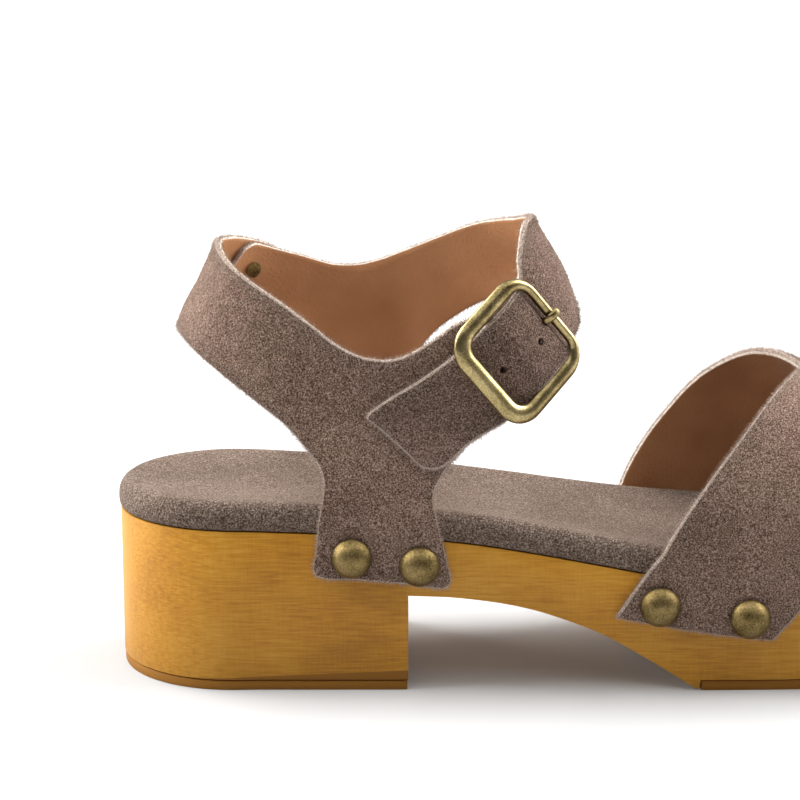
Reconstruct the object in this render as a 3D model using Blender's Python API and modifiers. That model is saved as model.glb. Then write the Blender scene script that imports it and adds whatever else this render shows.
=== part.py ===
"""Wooden-soled clog sandal for the right foot, with crossed vamp bands and a buckled ankle strap.

Metres, +Z up. The toe points to +X, the outer side of the foot is -Y, and the floor is Z = 0.
The sizes below are millimetres in the shoe's own measure: a station is the distance from the
back of the heel towards the toe, and a height is the distance above the floor.
"""

import math
from collections import namedtuple

import bmesh
import bpy
from mathutils import Vector

MM = 0.001

# Driving sizes of the sole
LENGTH = 256.0
HEEL_LENGTH = 79.9
HEEL_ROUND = 33.0
TOE_ROUND = 56.0
TOE_POWER = 2.3
RUBBER = 2.7
BED_THICKNESS = 8.0
BED_OVERHANG = 0.5
BED_TOE_SPINE = 34.7
LIFT_INSET = 0.2
GAP = 0.3
CUT_MARGIN = 6.0
CUT_REACH = 70.0

# Driving sizes of the upper
WALL = 2.0
SIDE_GAP = 1.0
ANKLE_POWER = 2.3
ANKLE_MEASURE_HEIGHT = 95.0
BEND_LOW = 53.0
BEND_HIGH = 76.0
VAMP_POWER = 2.4
VAMP_RIDGE = 5.0
BAND_OVERLAP = 1.1
QUARTER_CELLS = 8
BAND_CELLS = 6

# Driving sizes of the metal pieces
STUD_RADIUS = 5.5
STUD_HEIGHT = 3.9
RIVET_RADIUS = 3.4
RIVET_HEIGHT = 1.4
RIVET_INSIDE_GAP = 0.5
BUCKLE_ALONG = 31.4
BUCKLE_ACROSS = 33.5
BUCKLE_CORNER = 8.4
BUCKLE_CORNER_STEPS = 5
BUCKLE_CHAMFER = 0.8
BUCKLE_THICK = 3.0
BUCKLE_SIDE_BAR = 4.4
BUCKLE_REAR_BAR = 5.4
BUCKLE_FRONT_BAR = 2.8
BUCKLE_CENTRE = Vector((109.47, -31.46, 93.79))
BUCKLE_TURN = math.radians(25.0)
BUCKLE_TILT = math.radians(10.0)
BUCKLE_ANGLE = math.radians(39.6)
STRAP_CREST = 6.3
CENTRE_BAR_RADIUS = 1.2
CENTRE_BAR_LIFT = -2.9
PRONG_RADIUS = 1.1
PRONG_CLEARANCE = 0.4

# The origin is under the middle of the whole shoe
ORIGIN_STATION = 128.0
ORIGIN_SIDE = 1.42

PlanRow = namedtuple("PlanRow", "station centre half")
SOLE_PLAN = (
    PlanRow(0.0, 0.0, 33.5),
    PlanRow(33.0, 0.0, 33.5),
    PlanRow(60.0, -2.1, 32.6),
    PlanRow(94.0, -5.0, 31.0),
    PlanRow(120.0, -5.0, 32.6),
    PlanRow(147.0, -3.5, 36.0),
    PlanRow(170.0, -1.1, 39.6),
    PlanRow(190.0, 0.8, 41.7),
    PlanRow(210.0, 2.0, 42.0),
    PlanRow(256.0, 8.0, 42.0),
)

ProfileRow = namedtuple("ProfileRow", "station height")
WOOD_TOP = (
    ProfileRow(-6.0, 45.3),
    ProfileRow(26.0, 45.2),
    ProfileRow(51.0, 44.5),
    ProfileRow(89.0, 42.2),
    ProfileRow(110.0, 39.3),
    ProfileRow(129.0, 36.0),
    ProfileRow(144.0, 33.2),
    ProfileRow(160.0, 30.5),
    ProfileRow(180.0, 28.2),
    ProfileRow(200.0, 27.8),
    ProfileRow(225.0, 30.0),
    ProfileRow(262.0, 36.5),
)
ARCH = (
    ProfileRow(79.9, 27.0),
    ProfileRow(90.0, 26.6),
    ProfileRow(98.4, 25.7),
    ProfileRow(106.0, 24.6),
    ProfileRow(114.0, 22.9),
    ProfileRow(123.2, 20.0),
    ProfileRow(132.3, 16.4),
    ProfileRow(144.0, 9.9),
    ProfileRow(158.9, 0.6),
)
TREAD_BASE = (
    ProfileRow(160.2, 0.0),
    ProfileRow(200.0, 0.0),
    ProfileRow(222.0, 1.4),
    ProfileRow(240.0, 5.0),
    ProfileRow(262.0, 12.0),
)

BedRow = namedtuple("BedRow", "reach inset height")
BED_SECTION = (
    BedRow(0.0, 0.6, GAP),
    BedRow(0.6, 0.6, GAP),
    BedRow(1.0, 0.6, GAP),
    BedRow(1.0, -BED_OVERHANG, 2.0),
    BedRow(1.0, -BED_OVERHANG, 4.8),
    BedRow(1.0, 0.5, 7.0),
    BedRow(1.0, 2.4, BED_THICKNESS),
    BedRow(0.86, 2.4, 7.6),
    BedRow(0.5, 2.4, 6.6),
    BedRow(0.0, 2.4, 6.3),
)

AnkleRow = namedtuple("AnkleRow", "height back front outer inner")
ANKLE = (
    AnkleRow(28.0, 20.0, 132.0, 34.0, 28.0),
    AnkleRow(50.0, 20.0, 132.0, 34.0, 28.0),
    AnkleRow(70.0, 19.0, 130.0, 32.0, 27.5),
    AnkleRow(95.0, 20.3, 126.5, 29.5, 27.0),
    AnkleRow(108.0, 26.3, 122.6, 28.5, 26.6),
    AnkleRow(122.0, 32.8, 114.8, 27.5, 26.0),
    AnkleRow(134.0, 37.5, 108.0, 26.5, 25.0),
)

# Cutting lines of the leather: a row runs from the lower edge to the upper edge of the piece.
# An arc is the way round the ankle from the back of the heel, at the measuring height.
RibRow = namedtuple("RibRow", "low_arc low_height high_arc high_height lift")
OVER = WALL + GAP
LATERAL_RIBS = (
    RibRow(-36.0, 97.0, -35.5, 108.0, OVER),
    RibRow(-33.5, 92.2, -33.0, 113.2, OVER),
    RibRow(-28.0, 91.6, -28.0, 115.6, OVER),
    RibRow(-22.0, 91.8, -22.0, 117.0, OVER),
    RibRow(-15.5, 92.6, -15.5, 118.0, OVER),
    RibRow(-9.0, 93.7, -9.0, 118.3, OVER),
    RibRow(-3.5, 94.3, -3.5, 118.2, 1.8),
    RibRow(2.0, 94.3, 2.0, 117.7, 0.9),
    RibRow(7.0, 93.4, 7.3, 116.8, 0.2),
    RibRow(12.0, 92.1, 12.6, 115.6, 0.0),
    RibRow(18.5, 89.2, 18.0, 114.0, 0.0),
    RibRow(25.0, 85.6, 23.5, 112.1, 0.0),
    RibRow(34.0, 79.6, 33.5, 108.1, 0.0),
    RibRow(41.0, 74.2, 42.0, 104.0, 0.0),
    RibRow(46.6, 67.4, 49.0, 100.0, 0.0),
    RibRow(49.8, 62.6, 53.0, 97.2, 0.0),
    RibRow(50.5, 57.5, 56.5, 95.0, 0.0),
    RibRow(48.8, 50.0, 59.6, 93.4, 0.0),
    RibRow(47.9, 41.0, 61.6, 92.6, 0.0),
    RibRow(47.8, 33.3, 63.0, 92.2, 0.0),
    RibRow(59.0, 32.2, 64.0, 92.0, 0.0),
    RibRow(70.0, 31.2, 64.9, 91.8, 0.0),
    RibRow(81.4, 30.1, 65.8, 91.7, 0.0),
    RibRow(80.8, 38.5, 67.0, 91.6, 0.0),
    RibRow(78.7, 47.5, 69.0, 91.6, 0.0),
    RibRow(77.6, 54.4, 72.5, 92.3, 0.0),
    RibRow(79.6, 59.4, 77.2, 94.4, 0.0),
    RibRow(83.6, 64.0, 82.6, 97.6, 0.0),
    RibRow(90.0, 70.2, 88.0, 101.1, 0.0),
    RibRow(98.0, 77.2, 94.0, 102.6, 0.0),
    RibRow(106.5, 84.4, 99.5, 104.4, 0.0),
    RibRow(114.0, 90.5, 105.5, 108.6, 0.0),
    RibRow(121.0, 96.2, 111.5, 112.8, 0.0),
    RibRow(124.5, 101.0, 116.5, 114.0, 0.0),
    RibRow(125.5, 105.0, 121.0, 112.4, 0.0),
)
MEDIAL_RIBS = (
    RibRow(11.5, 99.0, 18.5, 115.0, 0.0),
    RibRow(14.0, 94.4, 22.0, 116.4, 0.0),
    RibRow(20.5, 92.6, 26.5, 115.6, 0.0),
    RibRow(28.0, 89.4, 31.0, 114.4, 0.0),
    RibRow(40.0, 81.6, 40.0, 112.2, 0.0),
    RibRow(46.0, 74.4, 46.5, 110.4, 0.0),
    RibRow(49.6, 66.6, 50.5, 109.4, 0.0),
    RibRow(50.4, 58.6, 54.0, 109.0, 0.0),
    RibRow(49.4, 50.0, 57.8, 108.9, 0.0),
    RibRow(48.9, 41.0, 60.4, 109.1, 0.0),
    RibRow(48.8, 33.3, 62.2, 109.4, 0.0),
    RibRow(59.0, 32.2, 63.4, 109.7, 0.0),
    RibRow(69.5, 31.2, 64.5, 109.9, 0.0),
    RibRow(80.0, 30.2, 65.6, 110.2, 0.0),
    RibRow(79.2, 38.5, 67.3, 110.6, 0.0),
    RibRow(78.0, 47.5, 69.6, 111.3, 0.0),
    RibRow(77.0, 56.0, 72.6, 112.3, 0.0),
    RibRow(76.4, 65.0, 76.2, 113.5, 0.0),
    RibRow(76.8, 75.0, 80.4, 114.8, 0.0),
    RibRow(79.0, 83.6, 85.0, 116.3, 0.0),
    RibRow(83.4, 89.0, 90.0, 117.8, 0.0),
    RibRow(89.0, 93.2, 95.2, 119.4, 0.0),
    RibRow(95.0, 96.8, 100.8, 120.9, 0.0),
    RibRow(102.0, 99.8, 107.0, 122.2, 0.0),
    RibRow(110.0, 101.8, 114.0, 123.2, 0.0),
    RibRow(118.5, 102.8, 121.0, 124.0, 0.2),
    RibRow(126.0, 101.8, 130.0, 124.9, 1.4),
    RibRow(132.5, 99.8, 139.5, 125.3, OVER),
    RibRow(138.0, 97.4, 147.6, 124.4, OVER),
    RibRow(143.2, 95.2, 156.0, 118.6, OVER),
    RibRow(150.6, 91.2, 161.9, 108.9, OVER),
    RibRow(154.1, 89.2, 165.0, 106.3, 4.6),
    RibRow(159.5, 84.9, 171.0, 102.1, STRAP_CREST),
    RibRow(163.8, 81.2, 175.8, 97.9, 5.0),
    RibRow(167.6, 77.8, 180.1, 94.2, 3.9),
    RibRow(171.8, 73.8, 184.8, 90.4, 3.0),
    RibRow(179.6, 67.8, 191.6, 85.8, OVER),
    RibRow(184.4, 63.9, 197.6, 82.3, OVER),
    RibRow(188.0, 62.3, 201.2, 80.0, OVER),
    RibRow(191.2, 62.5, 203.2, 78.4, OVER),
    RibRow(193.2, 64.2, 203.4, 77.6, OVER),
)

RidgeRow = namedtuple("RidgeRow", "station height")
VAMP_TOP = (
    RidgeRow(60.0, 98.0),
    RidgeRow(130.0, 94.0),
    RidgeRow(160.0, 90.5),
    RidgeRow(190.0, 83.0),
    RidgeRow(215.0, 72.5),
    RidgeRow(262.0, 52.0),
)

# A band's row is its place round the foot, in degrees from the outer rim of the footbed over the
# instep to the inner rim at 180. Past either rim one degree is one millimetre down the sole's side.
BandRow = namedtuple("BandRow", "girth rear front lift")
RAISED = WALL - BAND_OVERLAP
LATERAL_BAND = (
    BandRow(-21.0, 136.3, 179.2, 0.0),
    BandRow(-8.0, 143.9, 189.5, 0.0),
    BandRow(2.4, 150.8, 195.8, 0.0),
    BandRow(16.5, 159.3, 203.4, RAISED),
    BandRow(35.0, 170.4, 212.0, RAISED),
    BandRow(55.6, 181.3, 219.5, RAISED),
    BandRow(75.0, 190.8, 224.8, RAISED),
    BandRow(97.0, 197.8, 228.6, RAISED),
    BandRow(122.0, 202.4, 231.4, RAISED),
    BandRow(148.0, 205.4, 233.8, RAISED),
    BandRow(165.0, 206.8, 235.2, 0.4),
    BandRow(180.0, 207.2, 236.0, 0.0),
    BandRow(190.0, 207.2, 235.5, 0.0),
    BandRow(201.0, 206.2, 233.0, 0.0),
)
MEDIAL_BAND = (
    BandRow(-21.0, 205.0, 231.5, 0.0),
    BandRow(-10.0, 206.5, 233.5, 0.0),
    BandRow(2.0, 207.2, 234.5, 0.0),
    BandRow(15.0, 206.8, 234.8, 0.0),
    BandRow(33.0, 204.8, 233.8, 0.0),
    BandRow(55.0, 201.2, 231.0, 0.0),
    BandRow(75.0, 197.0, 228.0, 0.0),
    BandRow(92.0, 192.0, 225.0, 0.0),
    BandRow(108.0, 186.2, 221.5, 0.0),
    BandRow(125.0, 179.4, 216.0, 0.0),
    BandRow(140.5, 171.1, 209.5, 0.0),
    BandRow(155.7, 163.0, 203.0, 0.0),
    BandRow(167.5, 156.0, 197.0, 0.0),
    BandRow(180.0, 149.0, 191.0, 0.0),
    BandRow(190.0, 143.4, 184.0, 0.0),
    BandRow(201.0, 137.5, 176.5, 0.0),
)

AnklePlace = namedtuple("AnklePlace", "name arc height")
QUARTER_STUDS = (
    AnklePlace("stud_quarter_lateral_rear", 56.8, 38.6),
    AnklePlace("stud_quarter_lateral_front", 74.2, 36.3),
    AnklePlace("stud_quarter_medial_rear", -56.8, 38.6),
    AnklePlace("stud_quarter_medial_front", -74.2, 36.3),
)
HEEL_RIVETS = (
    AnklePlace("heel_rivet_upper", -24.2, 109.0),
    AnklePlace("heel_rivet_lower", -20.0, 101.0),
)
BUCKLE_RIVET = AnklePlace("buckle_rivet", 88.0, 82.0)

BandPlace = namedtuple("BandPlace", "name station girth")
BAND_STUDS = (
    BandPlace("stud_vamp_lateral_1", 148.2, -15.4),
    BandPlace("stud_vamp_lateral_2", 172.6, -15.2),
    BandPlace("stud_vamp_lateral_3", 211.5, -14.5),
    BandPlace("stud_vamp_lateral_4", 226.0, -14.5),
    BandPlace("stud_vamp_medial_1", 148.5, 195.2),
    BandPlace("stud_vamp_medial_2", 169.5, 195.2),
    BandPlace("stud_vamp_medial_3", 213.0, 194.5),
    BandPlace("stud_vamp_medial_4", 227.5, 194.5),
)

# Middle lines in the buckle's own measure: away from its centre, and out from the middle of its thickness.
# The centre bar's end starts inside the side bar and drops to the bar's own level.
PRONG_LINE = ((1.7, -2.9), (5.4, -2.95), (8.0, -2.2), (9.7, 0.2), (11.1, 2.2), (13.0, 2.95), (16.0, 2.95))
CENTRE_BAR_END = ((13.65, 0.0), (13.05, -1.3), (12.15, -2.7))

Look = namedtuple("Look", "colour roughness metallic")
LOOKS = {
    "lacquered_wood": Look((0.52, 0.26, 0.05), 0.35, 0.0),
    "brown_rubber": Look((0.19, 0.09, 0.02), 0.6, 0.0),
    "taupe_suede": Look((0.13, 0.09, 0.075), 0.95, 0.0),
    "antique_brass": Look((0.45, 0.33, 0.15), 0.3, 1.0),
}


def clear_scene():
    for item in list(bpy.data.objects):
        bpy.data.objects.remove(item, do_unlink=True)


def make_materials():
    made = {}
    for name, look in LOOKS.items():
        material = bpy.data.materials.new(name)
        material.use_nodes = True
        shader = material.node_tree.nodes["Principled BSDF"]
        shader.inputs["Base Color"].default_value = (*look.colour, 1.0)
        shader.inputs["Roughness"].default_value = look.roughness
        shader.inputs["Metallic"].default_value = look.metallic
        made[name] = material
    return made


def read_table(table, key, column, at):
    """A smooth value that never overshoots its rows, from one column of a table."""
    keys = [getattr(row, key) for row in table]
    values = [getattr(row, column) for row in table]
    if at <= keys[0]:
        return values[0]
    if at >= keys[-1]:
        return values[-1]
    spans = [b - a for a, b in zip(keys, keys[1:])]
    slopes = [(b - a) / span for a, b, span in zip(values, values[1:], spans)]
    tangents = [slopes[0]]
    for i in range(1, len(slopes)):
        before, after = slopes[i - 1], slopes[i]
        if before * after <= 0:
            tangents.append(0.0)
            continue
        weight_before = 2 * spans[i] + spans[i - 1]
        weight_after = spans[i] + 2 * spans[i - 1]
        weights = weight_before + weight_after
        tangents.append(weights / (weight_before / before + weight_after / after))
    tangents.append(slopes[-1])
    i = max(k for k in range(len(spans)) if keys[k] <= at)
    t = (at - keys[i]) / spans[i]
    start = (1 + 2 * t) * (1 - t) ** 2 * values[i] + t * (1 - t) ** 2 * spans[i] * tangents[i]
    end = t * t * (3 - 2 * t) * values[i + 1] + t * t * (t - 1) * spans[i] * tangents[i + 1]
    return start + end


def blend(value):
    """Smooth step from 0 to 1."""
    value = min(max(value, 0.0), 1.0)
    return value * value * (3 - 2 * value)


def power_cos(angle, power):
    return math.copysign(abs(math.cos(angle)) ** (2 / power), math.cos(angle))


def power_sin(angle, power):
    return math.copysign(abs(math.sin(angle)) ** (2 / power), math.sin(angle))


def sole_half(station):
    """Half the sole's width, rounded off at heel and toe."""
    half = read_table(SOLE_PLAN, "station", "half", station)
    if station < HEEL_ROUND:
        return half * math.sqrt(max(0.0, 1 - ((HEEL_ROUND - station) / HEEL_ROUND) ** 2))
    toe = (station - LENGTH + TOE_ROUND) / TOE_ROUND
    if toe > 0:
        return half * max(0.0, 1 - toe**TOE_POWER) ** (1 / TOE_POWER)
    return half


def sole_side(station, side, offset):
    """Sideways place of the sole's edge moved out by offset: side is -1 outside, +1 inside."""
    step = 0.5
    centre = read_table(SOLE_PLAN, "station", "centre", station)
    slope = (sole_half(station + step) - sole_half(station - step)) / (2 * step)
    return centre + side * (sole_half(station) + offset * math.sqrt(1 + slope * slope))


def sole_stations(heel_steps, middle_steps, toe_steps):
    """Stations that are close together where heel and toe turn."""
    toe_start = LENGTH - TOE_ROUND
    stations = [HEEL_ROUND * (1 - math.cos(math.pi / 2 * i / heel_steps)) for i in range(heel_steps)]
    for i in range(middle_steps):
        stations.append(HEEL_ROUND + (toe_start - HEEL_ROUND) * i / middle_steps)
    for i in range(toe_steps + 1):
        stations.append(toe_start + TOE_ROUND * math.sin(math.pi / 2 * i / toe_steps))
    return stations


def sole_outline(heel_steps=9, middle_steps=15, toe_steps=11):
    """Points round the sole, from the back of the heel along the outer side."""
    stations = sole_stations(heel_steps, middle_steps, toe_steps)
    outer = [(x, sole_side_plain(x, -1)) for x in stations]
    inner = [(x, sole_side_plain(x, 1)) for x in stations[1:-1]]
    return outer + inner[::-1]


def sole_side_plain(station, side):
    return read_table(SOLE_PLAN, "station", "centre", station) + side * sole_half(station)


def moved_out(points, distance):
    """The closed outline with every point moved out along its own normal."""
    moved = []
    for i, (x, y) in enumerate(points):
        before, after = points[i - 1], points[(i + 1) % len(points)]
        along = Vector((after[0] - before[0], after[1] - before[1])).normalized()
        moved.append((x + along.y * distance, y - along.x * distance))
    return moved


def wood_top(station):
    return read_table(WOOD_TOP, "station", "height", station)


def tread_base(station):
    return read_table(TREAD_BASE, "station", "height", station)


def ankle_point(turn, height):
    """Lining side of the ankle form: turn is 0 at the back of the heel, positive outside."""
    back = read_table(ANKLE, "height", "back", height)
    front = read_table(ANKLE, "height", "front", height)
    outside = math.sin(turn) > 0
    reach = read_table(ANKLE, "height", "outer" if outside else "inner", height)
    x = (back + front) / 2 - (front - back) / 2 * power_cos(turn, ANKLE_POWER)
    free = -reach * power_sin(turn, ANKLE_POWER)
    held = sole_side(x, -1 if outside else 1, SIDE_GAP)
    y = held + (free - held) * blend((height - BEND_LOW) / (BEND_HIGH - BEND_LOW))
    return Vector((x, y, height))


def measure_turns(direction, steps=360):
    """Lengths along the ankle form at the measuring height, with the turn that each belongs to."""
    turns = [direction * math.pi * i / steps for i in range(steps + 1)]
    points = [ankle_point(turn, ANKLE_MEASURE_HEIGHT) for turn in turns]
    lengths = [0.0]
    for a, b in zip(points, points[1:]):
        lengths.append(lengths[-1] + (b - a).length)
    return turns, lengths


TURNS = {1: measure_turns(1), -1: measure_turns(-1)}
ROUND_THE_ANKLE = TURNS[1][1][-1] + TURNS[-1][1][-1]


def turn_at(arc):
    """Turn for a length round the ankle: positive on the outer side, and on past the front."""
    direction = 1 if arc >= 0 else -1
    length = abs(arc)
    full_turn = 0.0
    turns, lengths = TURNS[direction]
    if length > lengths[-1]:
        length = ROUND_THE_ANKLE - length
        turns, lengths = TURNS[-direction]
        full_turn = direction * 2 * math.pi
    i = max(k for k in range(len(lengths) - 1) if lengths[k] <= length)
    share = (length - lengths[i]) / (lengths[i + 1] - lengths[i])
    return full_turn + turns[i] + (turns[i + 1] - turns[i]) * share


def ankle_normal(arc, height):
    step = 0.1
    around = ankle_point(turn_at(arc + step), height) - ankle_point(turn_at(arc - step), height)
    upward = ankle_point(turn_at(arc), height + step) - ankle_point(turn_at(arc), height - step)
    return around.cross(upward).normalized()


def wrap_ankle(arc, height, lift):
    """A point of the leather's flat pattern laid round the ankle, lift above the lining side."""
    return ankle_point(turn_at(arc), height) + ankle_normal(arc, height) * lift


def wrap_ankle_from_inside(arc, height, lift):
    """The same with the arc measured along the inner side and on round the front."""
    return wrap_ankle(-arc, height, lift)


def vamp_point(girth, station):
    """Lining side of the vamp form over the forefoot."""
    rim = wood_top(station) + BED_THICKNESS
    if girth < 0:
        return Vector((station, sole_side(station, -1, SIDE_GAP), rim + girth))
    if girth > 180:
        return Vector((station, sole_side(station, 1, SIDE_GAP), rim + 180 - girth))
    angle = math.radians(girth)
    outer = sole_side(station, -1, SIDE_GAP)
    inner = sole_side(station, 1, SIDE_GAP)
    middle = (outer + inner) / 2
    y = middle - (inner - outer) / 2 * power_cos(angle, VAMP_POWER) + VAMP_RIDGE * math.sin(angle) ** 2
    rise = read_table(VAMP_TOP, "station", "height", station) - rim
    return Vector((station, y, rim + rise * power_sin(angle, VAMP_POWER)))


def vamp_normal(girth, station):
    step = 0.2
    upward = vamp_point(girth + step, station) - vamp_point(girth - step, station)
    forward = vamp_point(girth, station + step) - vamp_point(girth, station - step)
    return forward.cross(upward).normalized()


def wrap_vamp(girth, station, lift):
    return vamp_point(girth, station) + vamp_normal(girth, station) * lift


def curve_through(rows, steps):
    """Rows made denser by a smooth curve through them; the last column changes without overshoot."""
    dense = []
    for i in range(len(rows) - 1):
        a = rows[max(i - 1, 0)]
        b, c = rows[i], rows[i + 1]
        d = rows[min(i + 2, len(rows) - 1)]
        for k in range(steps):
            t = k / steps
            row = []
            for p, q, r, s in zip(a, b, c, d):
                bend = (2 * p - 5 * q + 4 * r - s) * t**2 + (3 * q - p - 3 * r + s) * t**3
                row.append((2 * q + (r - p) * t + bend) / 2)
            row[-1] = b[-1] + (c[-1] - b[-1]) * blend(t)
            dense.append(row)
    dense.append(list(rows[-1]))
    return dense


def new_object(name, mesh, collection, material):
    item = bpy.data.objects.new(name, mesh)
    collection.objects.link(item)
    if material:
        mesh.materials.append(material)
    return item


def mesh_from(bm, name):
    mesh = bpy.data.meshes.new(name)
    bm.to_mesh(mesh)
    bm.free()
    return mesh


def prism(name, outline, to_point, low, high):
    """A closed outline drawn in a plane and pulled from low to high."""
    bm = bmesh.new()
    face = bm.faces.new([bm.verts.new(to_point(a, b, low) * MM) for a, b in outline])
    pulled = bmesh.ops.extrude_face_region(bm, geom=[face])
    shift = (to_point(0, 0, high) - to_point(0, 0, low)) * MM
    moved = [part for part in pulled["geom"] if isinstance(part, bmesh.types.BMVert)]
    bmesh.ops.translate(bm, verts=moved, vec=shift)
    bmesh.ops.recalc_face_normals(bm, faces=bm.faces)
    return mesh_from(bm, name)


def from_above(a, b, depth):
    return Vector((a, b, depth))


def from_side(a, b, depth):
    return Vector((a, depth, b))


def loft(name, rings, closed):
    """Skin over rings of points: closed joins the last ring to the first."""
    bm = bmesh.new()
    made = [[bm.verts.new(point * MM) for point in ring] for ring in rings]
    pairs = list(zip(made, made[1:]))
    if closed:
        pairs.append((made[-1], made[0]))
    for low, high in pairs:
        for i in range(len(low)):
            k = (i + 1) % len(low)
            bm.faces.new((low[i], low[k], high[k], high[i]))
    bmesh.ops.remove_doubles(bm, verts=bm.verts, dist=0.01 * MM)
    bmesh.ops.dissolve_degenerate(bm, edges=bm.edges, dist=0.01 * MM)
    bmesh.ops.recalc_face_normals(bm, faces=bm.faces)
    return mesh_from(bm, name)


def sheet(name, rows, cells, place, flip):
    """An open surface between the two edges that the rows give, with a leather's thickness."""
    bm = bmesh.new()
    grid = []
    for low_u, low_v, high_u, high_v, lift in rows:
        line = []
        for k in range(cells + 1):
            t = k / cells
            point = place(low_u + (high_u - low_u) * t, low_v + (high_v - low_v) * t, lift)
            line.append(bm.verts.new(point * MM))
        grid.append(line)
    for here, after in zip(grid, grid[1:]):
        for k in range(cells):
            corners = [here[k], after[k], after[k + 1], here[k + 1]]
            bm.faces.new(corners[::-1] if flip else corners)
    return mesh_from(bm, name)


def add_wall(item):
    wall = item.modifiers.new("leather wall", "SOLIDIFY")
    wall.thickness = WALL * MM
    wall.offset = 1.0
    wall.use_quality_normals = True


def add_boolean(item, other, operation):
    step = item.modifiers.new(f"{operation.lower()} {other.name}", "BOOLEAN")
    step.operation = operation
    step.object = other
    step.solver = "EXACT"


def hide_cutter(item):
    item.hide_render = True
    item.display_type = "WIRE"


def build_wooden_sole(parts, cutters, look):
    """Wood cut to its side profile, then to its outline from above."""
    bottom = RUBBER + GAP
    profile = [(-CUT_MARGIN, bottom), (HEEL_LENGTH, bottom)]
    profile += [(row.station, row.height) for row in ARCH]
    profile += [(TREAD_BASE[0].station - GAP, ARCH[-1].height)]
    tread_steps = 22
    for i in range(tread_steps + 1):
        x = TREAD_BASE[0].station + (LENGTH + CUT_MARGIN - TREAD_BASE[0].station) * i / tread_steps
        profile.append((x, tread_base(x) + bottom))
    top_steps = 40
    for i in range(top_steps + 1):
        x = LENGTH + CUT_MARGIN - (LENGTH + 2 * CUT_MARGIN) * i / top_steps
        profile.append((x, wood_top(x)))
    block = prism("wooden_sole", profile, from_side, -CUT_REACH, CUT_REACH)
    sole = new_object("wooden_sole", block, parts, look)
    outline = prism("sole outline", sole_outline(), from_above, -CUT_MARGIN, CUT_REACH)
    cutter = new_object("sole_outline_cutter", outline, cutters, None)
    hide_cutter(cutter)
    add_boolean(sole, cutter, "INTERSECT")
    return sole


def build_heel_lift(parts, look):
    """Rubber under the heel block, square across at the breast."""
    front = HEEL_LENGTH - LIFT_INSET
    points = [p for p in moved_out(sole_outline(middle_steps=30), -LIFT_INSET) if p[0] < front]
    split = max(range(len(points) - 1), key=lambda i: abs(points[i + 1][1] - points[i][1]))
    corners = [(front, points[split][1]), (front, points[split + 1][1])]
    outline = points[: split + 1] + corners + points[split + 1 :]
    return new_object("heel_lift", prism("heel_lift", outline, from_above, 0.0, RUBBER), parts, look)


def build_forefoot_sole(parts, cutters, look):
    """Rubber under the forefoot, bent up with the toe."""
    steps = 22
    start = TREAD_BASE[0].station + GAP
    stations = [start + (LENGTH + CUT_MARGIN - start) * i / steps for i in range(steps + 1)]
    profile = [(x, tread_base(x)) for x in stations]
    profile += [(x, tread_base(x) + RUBBER) for x in reversed(stations)]
    mesh = prism("forefoot_sole", profile, from_side, -CUT_REACH, CUT_REACH)
    rubber = new_object("forefoot_sole", mesh, parts, look)
    outline = prism("forefoot outline", moved_out(sole_outline(), -GAP), from_above, -CUT_MARGIN, CUT_REACH)
    cutter = new_object("forefoot_outline_cutter", outline, cutters, None)
    hide_cutter(cutter)
    add_boolean(rubber, cutter, "INTERSECT")
    return rubber


def build_footbed(parts, look):
    """Padded and covered footbed: rings from under its middle, round the rim and over its top."""
    outline = sole_outline(heel_steps=8, middle_steps=14, toe_steps=9)
    rings = []
    for row in BED_SECTION:
        ring = []
        for (station, _), (x, y) in zip(outline, moved_out(outline, -row.inset)):
            spine_x = min(max(station, HEEL_ROUND), LENGTH - BED_TOE_SPINE)
            spine_y = read_table(SOLE_PLAN, "station", "centre", spine_x)
            px = spine_x + (x - spine_x) * row.reach
            py = spine_y + (y - spine_y) * row.reach
            ring.append(Vector((px, py, wood_top(px) + row.height)))
        rings.append(ring)
    return new_object("footbed", loft("footbed", rings, closed=False), parts, look)


def band_rows(table):
    return [(row.girth, row.rear, row.girth, row.front, row.lift) for row in table]


def build_vamp(parts, cutters, look):
    """Two bands crossed over the forefoot and joined where the outer one lies on the other."""
    steps = 2
    under = sheet("medial band", curve_through(band_rows(MEDIAL_BAND), steps), BAND_CELLS, wrap_vamp, flip=True)
    under_band = new_object("medial_band", under, cutters, look)
    add_wall(under_band)
    hide_cutter(under_band)
    over = sheet("vamp_bands", curve_through(band_rows(LATERAL_BAND), steps), BAND_CELLS, wrap_vamp, flip=True)
    bands = new_object("vamp_bands", over, parts, look)
    add_wall(bands)
    add_boolean(bands, under_band, "UNION")
    return bands


def build_quarters(parts, look):
    """The two ankle pieces: the outer one goes round the heel, the inner one, returned, through the buckle."""
    steps = 2
    outer_rows = curve_through(LATERAL_RIBS, steps)
    inner_rows = curve_through(MEDIAL_RIBS, steps)
    outer = sheet("quarter_lateral", outer_rows, QUARTER_CELLS, wrap_ankle, flip=False)
    inner = sheet("quarter_medial", inner_rows, QUARTER_CELLS, wrap_ankle_from_inside, flip=True)
    lateral = new_object("quarter_lateral", outer, parts, look)
    medial = new_object("quarter_medial", inner, parts, look)
    add_wall(lateral)
    add_wall(medial)
    return medial


def on_buckle(forward, sideways, lift):
    """A point in the buckle's own measure: the frame is flat and lies against the strap."""
    level = Vector((math.cos(BUCKLE_TURN), math.sin(BUCKLE_TURN), 0.0))
    out = Vector((level.y, -level.x, 0.0)) * math.cos(BUCKLE_TILT) + Vector((0.0, 0.0, math.sin(BUCKLE_TILT)))
    upward = out.cross(level)
    along = level * math.cos(BUCKLE_ANGLE) + upward * math.sin(BUCKLE_ANGLE)
    across = upward * math.cos(BUCKLE_ANGLE) - level * math.sin(BUCKLE_ANGLE)
    return BUCKLE_CENTRE + along * forward + across * sideways + out * lift


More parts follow.
